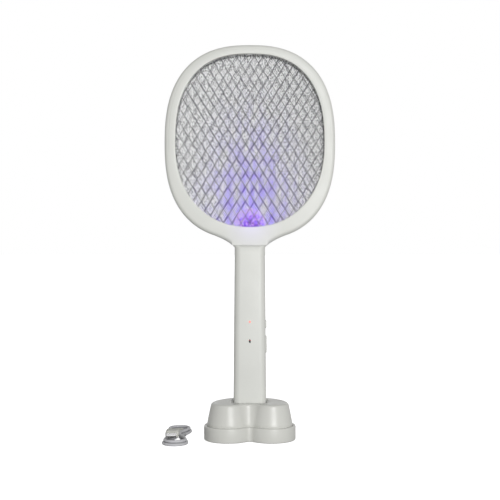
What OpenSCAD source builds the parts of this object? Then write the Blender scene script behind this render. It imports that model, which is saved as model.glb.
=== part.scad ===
// Electric fly swatter: an oval racket head with three grids and a violet lamp, on a
// square-section handle with a battery and a high-voltage board, standing in a lobed
// stand. A bundled charging cable lies beside the stand.
// +Z is up, -Y is the front, and the origin is on the floor under the stand's centre.

/* [Racket head] */
// Half width of the head at its widest line
head_half_w = 104.2; // [95:0.1:125]
// Height of the head's outline above its widest line
head_up = 120; // [112:0.1:147]
// Depth of the head's outline below its widest line
head_down = 118; // [115:0.1:122]
// Roundness of the head's outline, 2 for an ellipse and more for squarer corners
head_power = 2.5; // [2.2:0.1:3]
// Thickness of the head, front to back
head_t = 22; // [19:0.5:28]
// Height of the head's widest line above the floor
head_z = 361.4; // [358:0.1:366]
// Width of the plastic ring at the sides
ring_side = 13.4; // [12:0.1:16]
// Width of the plastic ring at the top
ring_top = 11.3; // [10:0.1:14]
// Width of the plastic ring at the bottom
ring_bottom = 15.8; // [14:0.1:18]
// Thickness of the ring's front and rear lips
lip_t = 3; // [2:0.5:3.5]
// Thickness of the ring's outer wall
ring_wall = 2.4; // [1.6:0.2:3]

/* [Grids] */
// Width of one diamond of the guard grids
cell_w = 10.8; // [9:0.1:13]
// Height of one diamond of the guard grids
cell_h = 17.7; // [15:0.1:21]
// Width of a guard grid's strand
strand_w = 1; // [0.8:0.1:1.4]
// Thickness of a guard grid
guard_t = 0.8; // [0.6:0.1:1.2]
// Thickness of the charged grid in the middle
hv_grid_t = 0.6; // [0.4:0.1:1]
// Strand width of the charged grid
hv_strand_w = 0.7; // [0.6:0.1:1]
// Width of each grid's own flat rim
grid_rim = 3.8; // [3:0.1:4.4]

/* [Violet lamp] */
// How far the lamp's lens stands up into the opening
lens_rise = 23; // [14:0.5:30]
// Radius of the lens's round top
lens_dome_r = 19; // [8:0.5:21]

/* [Handle] */
// Width of the handle where it meets the head
handle_top_w = 37; // [33:0.5:40]
// Width of the handle at its bottom end
handle_bottom_w = 40.5; // [38:0.5:44]
// Depth of the handle where it meets the head, front to back
handle_top_d = 28; // [26:0.5:33]
// Depth of the handle at its bottom end
handle_bottom_d = 30; // [29:0.5:34]
// Corner radius of the handle's section
handle_corner = 7.5; // [5:0.5:9]
// Height of the seam between the handle and the head
seam_z = 236.5; // [234:0.5:238]
// Width of the flared shoulder at that seam
shoulder_w = 42; // [41:0.5:47]
// Height of the flared shoulder
shoulder_h = 2.5; // [2:0.5:10]
// Depth of the shoulder at the seam, front to back
shoulder_d = 24; // [23:0.5:28]
// Thickness of the handle's walls
handle_wall = 2.2; // [1.8:0.1:2.6]

/* [Controls] */
// Height of the trigger button's middle
trigger_z = 115.5; // [113:0.5:118]
// Length of the trigger button
trigger_l = 21; // [18:0.5:23]
// Width of the trigger button
trigger_w = 7; // [6:0.5:9]
// How far the trigger button stands out of the side
trigger_proud = 1.6; // [1.4:0.1:2.5]
// Travel of the trigger button
trigger_travel = 1.2; // [0.8:0.1:1.2]
// Height of the mode slider's middle in its lower position
slider_z = 140; // [138:0.5:142]
// Length of the mode slider's knob
slider_l = 10; // [8:0.5:11]
// Width of the mode slider's knob
slider_w = 5; // [4:0.5:7]
// How far the mode slider stands out of the side
slider_proud = 1.4; // [1:0.1:2]
// Travel of the mode slider
slider_travel = 3.5; // [2:0.5:4]
// Height of the upper indicator hole in the front
indicator_z = 143.7; // [141:0.1:147]
// Height of the lower, dark indicator window in the front
window_z = 120.3; // [117:0.1:123]

/* [Battery and board] */
// Diameter of the rechargeable cell
cell_d = 18.4; // [14:0.1:18.6]
// Length of the rechargeable cell
cell_len = 65.3; // [50:0.1:65.4]
// Width of the main board
board_w = 26; // [24:0.5:27]
// Length of the main board
board_l = 111; // [111:1:112]
// Thickness of the main board
board_t = 1.6; // [1:0.1:2]

/* [Stand] */
// Height of the stand's deck above the floor
stand_h = 45.5; // [36:0.5:50]
// Radius of the stand's round back at the deck
stand_back_r = 47.5; // [44:0.5:57]
// Radius of each front lobe at the deck
lobe_r = 21.5; // [17:0.5:23]
// Radius of the hollow between the two lobes
valley_r = 14; // [11:0.5:15]
// How far the body's foot stands out past the deck's outline
body_flare = 4.25; // [3:0.25:8]
// How far the skirt stands out past the deck's outline
skirt_flare = 8.25; // [7:0.25:10]
// Height of the skirt's top edge
skirt_h = 18.5; // [12:0.5:22]
// Thickness of the stand's walls
stand_wall = 2.5; // [2:0.1:3]
// Height of the handle's bottom end above the floor
handle_z = 14; // [12:0.5:16]
// Clearance round the handle in the stand's socket
socket_clear = 0.5; // [0.4:0.05:0.8]
// Diameter of a rubber foot
foot_d = 10; // [8:0.5:12]

/* [Charging cable] */
// Diameter of the cable
cable_d = 3.5; // [3:0.1:4]

/* [Hidden] */

// Gaps between pieces
gap = 0.3;
screw_clear = 0.15;

// Layers of the head from the middle outwards
half_t = head_t / 2;
lip_y = half_t - lip_t;
guard_y = lip_y - guard_t;
hv_y = hv_grid_t / 2;
rim_outset = ring_side - grid_rim - 1;
opening_power_down = 2.2;
chamfer = 1.4;
frame_angles = [0, 38, 72, 108, 142, 180, 214, 250, 290, 326];
frame_screw_inset = 5.2;
boss_r = 2.5;
screw_r = 1.2;
head_screw_r = 2.3;
screw_head_t = 1.6;

// Neck, as distances from the middle and heights
flank = [[46, head_z - head_down + 6.4], [35, head_z - head_down + 2.4],
  [27, seam_z + 5.2], [shoulder_w / 2, seam_z]];
channel_half_w = 12;
spigot_wall = 2.5;
spigot_depth = 12;
spigot_half_t = 8;

// Violet lamp in the lower front of the ring
lamp_half_w = 12;
lamp_z = head_z - head_down + 8;
lamp_board_t = 1.2;
lamp_y = -(guard_y + hv_y) / 2;
lamp_t = guard_y - hv_y - 1.4;
lens_top_z = head_z - head_down + ring_bottom + lens_rise;
lens_wall = 1.2;
lens_face_t = 0.8;

// Handle: its size falls evenly from the bottom end to the neck
neck_z = seam_z - shoulder_h;
handle_len = neck_z - handle_z;
function handle_w_at(z) =
  handle_bottom_w + (handle_top_w - handle_bottom_w) * (z - handle_z) / handle_len;
function handle_d_at(z) =
  handle_bottom_d + (handle_top_d - handle_bottom_d) * (z - handle_z) / handle_len;
boss_zs = [handle_z + 5.5, handle_z + cell_len + 18, neck_z - 11];
shell_boss_r = 3;
shell_screw_len = 20;
board_y = 3;
board_z = boss_zs[1] + 5.7;
board_top_z = board_z + board_l;
board_screw_at = [[-9.5, board_z + 23], [9.5, board_z + 73]];
standoff_r = 2.4;
cell_z = handle_z + 12;
contact_t = 0.5;
tray_t = 1.8;
tray_y = cell_d / 2 + 0.3;
transformer_z = board_z + 77;
capacitor_z = board_z + 55;
diode_z = board_z + 97;
lead_r = 0.65;

// Controls on the right-hand side
trigger_wall_x = handle_w_at(trigger_z) / 2;
slider_wall_x = handle_w_at(slider_z) / 2;
flange_t = 1.4;
trigger_flange_x = trigger_wall_x - handle_wall - 0.6;
slider_flange_x = slider_wall_x - handle_wall - 0.6;
microswitch_x = trigger_flange_x - flange_t - 3.1;
switch_x = slider_flange_x - flange_t - 0.4;
indicator_r = 1;
window_half = [1, 2];
port_z = board_z + 6.5;

// Stand: one outline, moved out by a distance called grow
stand_y = -(stand_back_r - lobe_r) / 2;
lobe_x = stand_back_r - lobe_r;
valley_drop = sqrt(pow(lobe_r + valley_r, 2) - pow(lobe_x, 2));
valley_turn = atan2(valley_drop, lobe_x);
tray_floor_z = 3.5;
tray_z = 1;
socket_wall = 1.6;
socket_floor_t = 2.5;
deck_t = 2.5;
hole_power = 7;
foot_at = [[-36, -20], [36, -20], [-30, 16], [30, 16]];
foot_t = 2.2;
stand_screw_at = [[-28, -6], [28, -6], [0, 28]];

// Charging cable: a hank lying on the floor, its plug end towards the front
hank_x = -89;
hank_fold_y = 38;
hank_fold_r = 16;
hank_waist = 18;
hank_h = 2 * cable_d + 0.1;
plug_x = hank_x - 4;
plug_y = -18;
plug_z = hank_h + 4;
lead_route = [[-91.5, 0, 5.3], [-92, -4, 6.2], [-92.6, -8.5, 9], [-93, -12, 11], [-93, -13, 11.1]];
battery_route = [[6, -2, 0.3], [6.6, -2, 3], [8, -0.5, 7], [8, 1.2, 11], [8, 2.3, 13.5]];

// Signed power, for outlines rounder than a circle or squarer
function signed_pow(v, p) = sign(v) * pow(abs(v), p);
function mix(a, b, t) = a + (b - a) * t;

// The ring's outline at a distance inside the outer edge, measured at the sides
function ring_outline(inset, n = 96) = [for (i = [0:n - 1]) let (
  a = 360 * i / n,
  t = inset / ring_side,
  up = sin(a) > 0,
  power = up ? head_power : mix(head_power, opening_power_down, t),
  half_h = up ? head_up - ring_top * t : head_down - ring_bottom * t)
  [(head_half_w - inset) * signed_pow(cos(a), 2 / power),
    head_z + half_h * signed_pow(sin(a), 2 / power)]];

// A point on the ring at a distance inside the outer edge, in a direction
function ring_point(inset, a) = let (
  t = inset / ring_side,
  half_h = sin(a) > 0 ? head_up - ring_top * t : head_down - ring_bottom * t)
  [(head_half_w - inset) * signed_pow(cos(a), 2 / head_power),
    head_z + half_h * signed_pow(sin(a), 2 / head_power)];

function bezier(p, t) = pow(1 - t, 3) * p[0] + 3 * t * pow(1 - t, 2) * p[1]
  + 3 * t * t * (1 - t) * p[2] + pow(t, 3) * p[3];
function flank_points(inset) =
  [for (i = [0:10]) let (q = bezier(flank, i / 10)) [q[0] - inset, q[1]]];
function mirrored(points) =
  [for (i = [len(points) - 1:-1:0]) [-points[i][0], points[i][1]]];

// The stand's outline, moved out by grow: a round back, two front lobes and the hollow
function stand_outline(grow) = concat(
  [for (i = [0:24]) arc_point([0, stand_y], stand_back_r + grow, i * 7.5)],
  [for (i = [1:14]) arc_point([-lobe_x, stand_y], lobe_r + grow, 180 + i * (180 - valley_turn) / 14)],
  [for (i = [1:9]) arc_point([0, stand_y - valley_drop], valley_r - grow,
    mix(180 - valley_turn, valley_turn, i / 9))],
  [for (i = [1:13]) arc_point([lobe_x, stand_y], lobe_r + grow,
    180 + valley_turn + i * (180 - valley_turn) / 14)]);
function arc_point(centre, r, a) = centre + r * [cos(a), sin(a)];

// A closed solid through outlines of the same count: capped at both ends, or turned in on
// itself like a ring, from the last outline back to the first
module skin(levels, closed = false) {
  n = len(levels[0]);
  m = len(levels);
  sides = [for (k = [0:closed ? m - 1 : m - 2], i = [0:n - 1]) let (j = (i + 1) % n, up = (k + 1) % m)
    each [[k * n + i, up * n + j, k * n + j], [k * n + i, up * n + i, up * n + j]]];
  caps = [[for (i = [0:n - 1]) i], [for (i = [n - 1:-1:0]) (m - 1) * n + i]];
  polyhedron([for (level = levels) each level], closed ? sides : concat(caps, sides));
}
// A rectangle with round corners, as points
function rounded_outline(w, d, r, steps = 7) = [for (k = [0:3], i = [0:steps]) let (a = 90 * (k + i / steps))
  [(w / 2 - r) * (k == 0 || k == 3 ? 1 : -1) + r * cos(a), (d / 2 - r) * (k < 2 ? 1 : -1) + r * sin(a)]];
function lifted(points, z) = [for (p = points) [p[0], p[1], z]];

// A round tube along a route
function unit(v) = v / norm(v);
module tube(route, r, sides = 8) {
  n = len(route);
  skin([for (i = [0:n - 1]) let (
    along = unit(route[min(i + 1, n - 1)] - route[max(i - 1, 0)]),
    side = unit(cross(along, abs(along[0]) < 0.8 ? [1, 0, 0] : [0, 0, 1])),
    other = cross(along, side))
    [for (k = [0:sides - 1]) route[i] + r * (cos(360 * k / sides) * side + sin(360 * k / sides) * other)]]);
}

// An outline in X and Z, made solid from one depth to another
module slab(from_y, to_y) {
  translate([0, to_y, 0]) rotate([90, 0, 0]) linear_extrude(to_y - from_y) children();
}
module front_to_back(x, z, from_y, to_y, r) {
  translate([x, to_y, z]) rotate([90, 0, 0]) cylinder(r = r, h = to_y - from_y, $fn = 32);
}
module left_to_right(y, z, from_x, to_x, r) {
  translate([from_x, y, z]) rotate([0, 90, 0]) cylinder(r = r, h = to_x - from_x, $fn = 32);
}
module block(low, high) { translate(low) cube(high - low); }
module rounded_rect(w, d, r) {
  square([w - 2 * r, d], center = true);
  square([w, d - 2 * r], center = true);
  for (x = [-1, 1], y = [-1, 1])
    translate([x * (w / 2 - r), y * (d / 2 - r)]) circle(r, $fn = 32);
}

// Head ring
module ring_plate(inset) {
  polygon(ring_outline(inset));
  if (inset < ring_wall) polygon(concat(flank_points(inset), mirrored(flank_points(inset))));
}
module opening() { polygon(ring_outline(ring_side)); }
module pocket() {
  polygon(ring_outline(ring_wall));
  translate([-channel_half_w, seam_z - 1]) square([2 * channel_half_w, lamp_z - seam_z + 4]);
}
// The front half of the ring. The rear half is its mirror image with screw holes.
module frame_half() {
  difference() {
    union() {
      slab(-half_t, chamfer - half_t) difference() { ring_plate(chamfer); opening(); }
      slab(chamfer - half_t, -lip_y) difference() { ring_plate(0); opening(); }
      slab(-lip_y, 0) difference() { ring_plate(0); pocket(); }
      for (a = frame_angles) {
        p = ring_point(frame_screw_inset, a);
        front_to_back(p[0], p[1], -lip_y, 0, boss_r);
      }
      for (s = [-1, 1])
        block([s > 0 ? channel_half_w : -channel_half_w - spigot_wall, -spigot_half_t, seam_z - spigot_depth],
          [s > 0 ? channel_half_w + spigot_wall : -channel_half_w, 0, seam_z + 2]);
    }
    for (a = frame_angles) {
      p = ring_point(frame_screw_inset, a);
      front_to_back(p[0], p[1], -lip_y, 1, screw_r + 0.05);
    }
  }
}
module front_frame() { color("gainsboro") frame_half(); }
module rear_frame() {
  color("gainsboro") difference() {
    mirror([0, 1, 0]) frame_half();
    for (a = frame_angles) {
      p = ring_point(frame_screw_inset, a);
      front_to_back(p[0], p[1], lip_y - 1, half_t + 1, screw_r + screw_clear);
      front_to_back(p[0], p[1], half_t - screw_head_t, half_t + 1, head_screw_r + screw_clear);
    }
  }
}
module frame_screws() {
  color("dimgray") for (a = frame_angles) {
    p = ring_point(frame_screw_inset, a);
    front_to_back(p[0], p[1], -lip_y + 1.5, half_t - screw_head_t, screw_r);
    front_to_back(p[0], p[1], half_t - screw_head_t, half_t - 0.3, head_screw_r);
  }
}

// Grids: diamonds cut out of a flat sheet, inside a solid rim
module diamonds(strand, shift) {
  slope = atan2(cell_h, cell_w);
  gap_w = cell_w - strand / sin(slope);
  gap_h = cell_h - strand / cos(slope);
  cols = ceil(head_half_w / cell_w);
  rows = 2 * ceil(head_up / cell_h);
  for (r = [-rows:rows], c = [-cols:cols]) {
    x = (c + (abs(r) % 2) / 2 + shift) * cell_w;
    z = (r / 2 + shift) * cell_h;
    half_h = z > 0 ? head_up - ring_top : head_down - ring_bottom;
    reach = pow(abs(x) / (head_half_w - ring_side + cell_w / 2), head_power)
      + pow(abs(z) / (half_h + cell_h / 2), head_power);
    if (reach < 1) translate([x, head_z + z])
      polygon([[gap_w / 2, 0], [0, gap_h / 2], [-gap_w / 2, 0], [0, -gap_h / 2]]);
  }
}
module grid(from_y, thick, strand, shift = 0) {
  slab(from_y, from_y + thick) difference() {
    polygon(ring_outline(rim_outset));
    intersection() {
      diamonds(strand, shift);
      polygon(ring_outline(rim_outset + grid_rim));
    }
  }
}
module front_guard_grid() { color("silver") grid(-lip_y, guard_t, strand_w); }
module rear_guard_grid() { color("silver") grid(guard_y, guard_t, strand_w); }
module hv_grid() { color("lightgray") grid(-hv_y, hv_grid_t, hv_strand_w, 0.25); }
module spacer_ring(from_y, to_y) {
  slab(from_y, to_y) difference() {
    polygon(ring_outline(rim_outset));
    polygon(ring_outline(rim_outset + grid_rim));
    translate([-lamp_half_w - 1, lamp_z - 6]) square([2 * lamp_half_w + 2, 20]);
  }
}
module front_spacer_ring() { color("gainsboro") spacer_ring(-guard_y, -hv_y); }
module rear_spacer_ring() { color("gainsboro") spacer_ring(hv_y, guard_y); }

// Violet lamp
module uv_led_board() {
  color("darkgreen") block([-lamp_half_w + 1, lamp_y - lamp_t / 2, lamp_z],
    [lamp_half_w - 1, lamp_y + lamp_t / 2, lamp_z + lamp_board_t]);
}
module uv_leds() {
  color("mediumpurple") for (x = [-7, 0, 7])
    block([x - 1.75, lamp_y - 1.4, lamp_z + lamp_board_t], [x + 1.75, lamp_y + 1.4, lamp_z + lamp_board_t + 1.6]);
}
module lens_outline(inset) {
  foot_z = lamp_z + lamp_board_t;
  fan_z = lens_top_z - lens_rise + 2.2;
  translate([inset - lamp_half_w, foot_z - inset]) square([2 * (lamp_half_w - inset), fan_z - foot_z + 2 * inset + 1]);
  intersection() {
    translate([0, lens_top_z - lens_dome_r]) circle(lens_dome_r - inset, $fn = 64);
    translate([-lens_dome_r, fan_z + inset]) square(2 * lens_dome_r);
  }
}
module uv_lens() {
  color("plum") difference() {
    slab(lamp_y - lamp_t / 2, lamp_y + lamp_t / 2) lens_outline(0);
    slab(lamp_y - lamp_t / 2 + lens_face_t, lamp_y + lamp_t / 2 - lens_face_t) lens_outline(lens_wall);
  }
}

// Handle shells
function section(level, inset) =
  lifted(rounded_outline(level[1] - 2 * inset, level[2] - 2 * inset, handle_corner - inset), level[0]);
module handle_outside() {
  skin([for (level = [
    [handle_z, handle_bottom_w - 2 * chamfer, handle_bottom_d - 2 * chamfer],
    [handle_z + chamfer, handle_bottom_w, handle_bottom_d],
    [neck_z, handle_top_w, handle_top_d],
    [seam_z, shoulder_w, shoulder_d]]) section(level, 0)]);
}
module handle_inside() {
  skin([for (level = [
    [handle_z + 2.5, handle_bottom_w, handle_bottom_d],
    [neck_z, handle_top_w, handle_top_d],
    [seam_z + 1, shoulder_w, shoulder_d]]) section(level, handle_wall)]);
}
module button_slot(wall_x, mid_z, length, width, travel = 0) {
  block([wall_x - 2 * handle_wall, -width / 2 - gap, mid_z - length / 2 - gap],
    [wall_x + 3, width / 2 + gap, mid_z + length / 2 + travel + gap]);
}
module handle_body() {
  difference() {
    handle_outside();
    handle_inside();
    button_slot(trigger_wall_x, trigger_z, trigger_l, trigger_w);
    button_slot(slider_wall_x, slider_z, slider_l, slider_w, slider_travel);
  }
}
module half_space(s) {
  block([-60, s > 0 ? 0 : -60, 0], [60, s > 0 ? 60 : 0, 400]);
}
module handle_front_shell() {
  color("gainsboro") difference() {
    union() {
      intersection() { handle_body(); half_space(-1); }
      for (z = boss_zs)
        front_to_back(0, z, 1 - handle_d_at(z) / 2, -gap / 2, shell_boss_r);
    }
    for (z = boss_zs) front_to_back(0, z, -9, 1, screw_r + 0.05);
    front_to_back(0, indicator_z, -20, 0, indicator_r + 0.1);
    for (z = [-1, 1])
      front_to_back(0, window_z + z * (window_half[1] - window_half[0]), -20, 0, window_half[0] + 0.1);
    block([-window_half[0] - 0.1, -20, window_z - 1], [window_half[0] + 0.1, -5, window_z + 1]);
  }
}
module handle_rear_shell() {
  color("gainsboro") difference() {
    union() {
      intersection() { handle_body(); half_space(1); }
      for (z = boss_zs)
        front_to_back(0, z, gap / 2, handle_d_at(z) / 2 - 1, shell_boss_r);
      for (p = board_screw_at)
        front_to_back(p[0], p[1], board_y + board_t, handle_d_at(p[1]) / 2 - 1, standoff_r);
    }
    for (z = boss_zs) {
      front_to_back(0, z, -1, 20, screw_r + screw_clear);
      front_to_back(0, z, handle_d_at(z) / 2 - screw_head_t - 0.4, 20, head_screw_r + screw_clear);
    }
    for (p = board_screw_at) front_to_back(p[0], p[1], 0, board_y + board_t + 5, screw_r + 0.05);
    block([-4.3, 8, port_z - 1.8], [4.3, 20, port_z + 1.8]);
  }
}
module shell_screws() {
  color("dimgray") for (z = boss_zs) {
    head_y = handle_d_at(z) / 2 - screw_head_t - 0.4;
    front_to_back(0, z, head_y - shell_screw_len, head_y, screw_r);
    front_to_back(0, z, head_y, head_y + screw_head_t, head_screw_r);
  }
}

// Electronics
module main_circuit_board() {
  color("darkgreen") difference() {
    block([-board_w / 2, board_y, board_z], [board_w / 2, board_y + board_t, board_top_z]);
    for (p = board_screw_at) front_to_back(p[0], p[1], 0, 10, screw_r + screw_clear);
  }
}
module board_screws() {
  color("dimgray") for (p = board_screw_at) {
    front_to_back(p[0], p[1], board_y - screw_head_t, board_y, head_screw_r);
    front_to_back(p[0], p[1], board_y, board_y + board_t + 4, screw_r);
  }
}
module hv_transformer() {
  color("gold") {
    block([-8, board_y - 12, transformer_z], [8, board_y, transformer_z + 3]);
    block([-8, board_y - 12, transformer_z + 13], [8, board_y, transformer_z + 16]);
    translate([0, board_y - 6, transformer_z + 3]) cylinder(r = 5.6, h = 10, $fn = 32);
  }
}
module hv_capacitor() {
  color("firebrick") translate([-3, board_y, capacitor_z]) rotate([90, 0, 0])
    linear_extrude(9) translate([0, 6]) rotate(90) rounded_rect(12, 14, 2);
}
module hv_diodes() {
  color("black") for (x = [-9, -3, 3, 9])
    translate([x, board_y - 1.4, diode_z]) cylinder(r = 1.3, h = 5, $fn = 24);
}
module battery_cell() {
  color("steelblue") translate([0, 0, cell_z + contact_t]) cylinder(d = cell_d, h = cell_len, $fn = 48);
}
module battery_tray() {
  end_z = cell_z + cell_len + 2 * contact_t;
  color("dimgray") {
    block([-9, tray_y, cell_z - tray_t], [9, tray_y + 1.5, end_z + tray_t]);
    block([-9, -6, cell_z - tray_t], [9, tray_y, cell_z]);
    block([-9, -6, end_z], [9, tray_y, end_z + tray_t]);
  }
}
module battery_contacts() {
  color("silver") for (z = [cell_z, cell_z + cell_len + contact_t])
    block([-6, -5, z], [6, 6, z + contact_t]);
}
module battery_leads() {
  start = [0, 0, cell_z + cell_len + 2 * contact_t + tray_t];
  color("red") for (s = [-1, 1]) tube([for (p = battery_route) start + [s * p[0], p[1], p[2]]], lead_r);
}
module hv_leads() {
  end_z = lamp_z + 3;
  color("orange") {
    tube([[-5, 2.2, board_top_z - 6], [-5.4, 1.6, board_top_z - 1], [-6.2, 1.4, board_top_z + 6],
      [-8, 1.3, seam_z], [-8, 1.2, end_z]], lead_r);
    tube([[5, 2.2, board_top_z - 6], [5.4, 1.6, board_top_z - 1], [6.2, 3, board_top_z + 6],
      [8, 6.3, seam_z], [8, guard_y - lead_r - 0.1, end_z]], lead_r);
  }
}
module uv_leads() {
  color("white") for (s = [-1, 1])
    tube([[s * 8.5, 2.2, board_top_z - 6], [s * 8.4, 0, board_top_z], [s * 7, -3, board_top_z + 7],
      [s * 4, lamp_y, seam_z], [s * 4, lamp_y, lamp_z - 0.1]], lead_r);
}
module charging_socket() {
  face_y = handle_d_at(port_z) / 2 - 0.4;
  color("silver") difference() {
    block([-3.9, board_y + board_t, port_z - 1.5], [3.9, face_y, port_z + 1.5]);
    block([-3.4, face_y - 5, port_z - 1], [3.4, face_y + 1, port_z + 1]);
  }
}

// Controls
module mode_switch_body() {
  color("black") difference() {
    block([8, -board_y, slider_z - 7], [switch_x, board_y, slider_z + slider_travel + 7]);
    block([switch_x - 2.6, -1.4, slider_z - 1.5], [switch_x + 1, 1.4, slider_z + slider_travel + 1.5]);
  }
}
module mode_slider_knob() {
  color("gainsboro") {
    block([slider_flange_x - flange_t, -slider_w / 2, slider_z - slider_l / 2],
      [slider_wall_x + slider_proud, slider_w / 2, slider_z + slider_l / 2]);
    block([slider_flange_x - flange_t, -slider_w / 2 - 1.5, slider_z - slider_l / 2 - 1.5],
      [slider_flange_x, slider_w / 2 + 1.5, slider_z + slider_l / 2 + 1.5]);
    block([switch_x - 2.1, -1, slider_z - 1], [slider_flange_x, 1, slider_z + 1]);
  }
}
module trigger_button() {
  color("gainsboro") {
    block([trigger_flange_x - flange_t, -trigger_w / 2, trigger_z - trigger_l / 2],
      [trigger_wall_x + trigger_proud, trigger_w / 2, trigger_z + trigger_l / 2]);
    block([trigger_flange_x - flange_t, -trigger_w / 2 - 1.5, trigger_z - trigger_l / 2 - 1.5],
      [trigger_flange_x, trigger_w / 2 + 1.5, trigger_z + trigger_l / 2 + 1.5]);
  }
}
module trigger_microswitch() {
  color("black") {
    block([4, -board_y, trigger_z - 7], [microswitch_x, board_y, trigger_z + 7]);
    left_to_right(0, trigger_z + 4.5, microswitch_x, microswitch_x + 1.7, 0.8);
  }
}
module trigger_spring() {
  turns = 3;
  wire_r = 0.25;
  length = trigger_flange_x - flange_t - microswitch_x - 2 * wire_r - 0.1;
  color("silver") tube([for (i = [0:turns * 10]) let (a = 36 * i)
    [microswitch_x + wire_r + 0.05 + length * i / (turns * 10), 2.2 * cos(a), trigger_z - 2 + 2.2 * sin(a)]],
    wire_r, 6);
}
module power_led() {
  color("red") block([-1.5, board_y - 1, indicator_z - 0.9], [1.5, board_y, indicator_z + 0.9]);
}
module indicator_light_pipe() {
  color("tomato") front_to_back(0, indicator_z, 0.3 - handle_d_at(indicator_z) / 2, board_y - 1.2, indicator_r);
}
module charge_led() {
  color("red") block([-1.5, board_y - 1, window_z - 0.9], [1.5, board_y, window_z + 0.9]);
}
module charge_window() {
  color("black") slab(0.3 - handle_d_at(window_z) / 2, board_y - 1.2) translate([0, window_z])
    rounded_rect(2 * window_half[0], 2 * window_half[1], window_half[0] - 0.01);
}

// Stand
module socket_section(extra) {
  rounded_rect(handle_bottom_w + 2 * (socket_clear + extra), handle_bottom_d + 2 * (socket_clear + extra),
    handle_corner + socket_clear + extra);
}
module stand_upper_shell() {
  hole_w = handle_bottom_w + 2 * (socket_clear + socket_wall + 0.1);
  hole_d = handle_bottom_d + 2 * (socket_clear + socket_wall + 0.1);
  hole = [for (p = stand_outline(0))
    p * pow(pow(2 * abs(p[0]) / hole_w, hole_power) + pow(2 * abs(p[1]) / hole_d, hole_power), -1 / hole_power)];
  bottom_z = tray_floor_z + 0.1;
  outside = [[bottom_z, body_flare], [skirt_h, body_flare], [stand_h - 4, 0.6], [stand_h - 1.8, -0.1],
    [stand_h - 0.5, -1.2], [stand_h, -2.6]];
  inside = [[stand_h - deck_t, -stand_wall], [skirt_h, body_flare - stand_wall],
    [bottom_z, body_flare - stand_wall]];
  color("gainsboro") skin(concat(
    [for (level = outside) lifted(stand_outline(level[1]), level[0])],
    [lifted(hole, stand_h), lifted(hole, stand_h - deck_t)],
    [for (level = inside) lifted(stand_outline(level[1]), level[0])]), closed = true);
}
module stand_socket() {
  color("gainsboro") translate([0, 0, tray_floor_z + 0.1]) difference() {
    union() {
      linear_extrude(stand_h - tray_floor_z - 0.6) socket_section(socket_wall);
      block([-31, -10, 0], [31, -2, 2]);
      block([-4, 0, 0], [4, 28, 2]);
      for (p = stand_screw_at) translate([p[0], p[1], 0]) cylinder(r = shell_boss_r, h = 14, $fn = 32);
    }
    translate([0, 0, handle_z - tray_floor_z - 0.1]) linear_extrude(stand_h) socket_section(0);
    translate([0, 0, -1]) linear_extrude(handle_z - tray_floor_z - 0.1 - socket_floor_t + 1) socket_section(0);
    for (p = stand_screw_at) translate([p[0], p[1], -1]) cylinder(r = screw_r + 0.05, h = 12, $fn = 32);
  }
}
module stand_tray() {
  color("gainsboro") difference() {
    union() {
      translate([0, 0, tray_z]) linear_extrude(1) polygon(stand_outline(skirt_flare - 1));
      translate([0, 0, tray_z + 1]) linear_extrude(skirt_h - tray_z - 1) polygon(stand_outline(skirt_flare));
    }
    translate([0, 0, tray_floor_z]) linear_extrude(skirt_h) polygon(stand_outline(body_flare + gap));
    for (p = stand_screw_at) translate([p[0], p[1], 0]) {
      cylinder(r = screw_r + screw_clear, h = 10, $fn = 32);
      cylinder(r = head_screw_r + screw_clear, h = tray_z + screw_head_t, $fn = 32);
    }
    for (p = foot_at) translate([p[0], p[1], 0]) cylinder(d = foot_d, h = foot_t, $fn = 32);
  }
}
module stand_screws() {
  color("dimgray") for (p = stand_screw_at) translate([p[0], p[1], tray_z + screw_head_t]) {
    cylinder(r = screw_r, h = 9, $fn = 32);
    translate([0, 0, -screw_head_t + 0.2]) cylinder(r = head_screw_r, h = screw_head_t - 0.2, $fn = 32);
  }
}
module rubber_feet() {
  color("dimgray") for (p = foot_at) translate([p[0], p[1], 0]) cylinder(d = foot_d, h = foot_t, $fn = 32);
}

// Charging cable
module usb_a_shell() {
  color("silver") difference() {
    block([plug_x - 6, plug_y - 29, plug_z - 2.25], [plug_x + 6, plug_y - 16.4, plug_z + 2.25]);
    block([plug_x - 5.6, plug_y - 30, plug_z - 1.85], [plug_x + 5.6, plug_y - 17.4, plug_z + 1.85]);
  }
}
module usb_a_tongue() {
  color("white") block([plug_x - 5.5, plug_y - 28.4, plug_z], [plug_x + 5.5, plug_y - 17.4, plug_z + 1.8]);
}
module usb_a_housing() {
  color("gainsboro") {
    translate([plug_x, plug_y, plug_z]) rotate([90, 0, 0]) linear_extrude(16.4) rounded_rect(16, 8, 2.5);
    translate([plug_x, plug_y + 5, plug_z]) rotate([90, 0, 0]) cylinder(r = 2.6, h = 5, $fn = 32);
  }
}
module micro_usb_shell() {
  color("silver") difference() {
    block([hank_x - 3.4, 36, 2.1], [hank_x + 3.4, 42, 3.9]);
    block([hank_x - 3.1, 37, 2.4], [hank_x + 3.1, 43, 3.6]);
  }
}
module micro_usb_housing() {
  color("gainsboro") {
    translate([hank_x, 36, 3]) rotate([90, 0, 0]) linear_extrude(16) rounded_rect(10.4, 6, 2);
    translate([hank_x, 20, 3]) rotate([90, 0, 0]) cylinder(r = 2.4, h = 6, $fn = 32);
  }
}
module cable_tie() {
  color("gray") {
    translate([hank_x, 0.8, hank_h / 2 + 0.5]) rotate([90, 0, 0]) linear_extrude(1.6) difference() {
      rounded_rect(hank_waist + 1.6, hank_h + 1, 2.5);
      rounded_rect(hank_waist, hank_h - 0.6, 1.8);
    }
    block([hank_x + hank_waist / 2 + 0.4, -5.5, 3], [hank_x + hank_waist / 2 + 2, 0.8, 4.4]);
  }
}
module cable_lead() { color("lightgray") tube(lead_route, cable_d / 2); }
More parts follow.
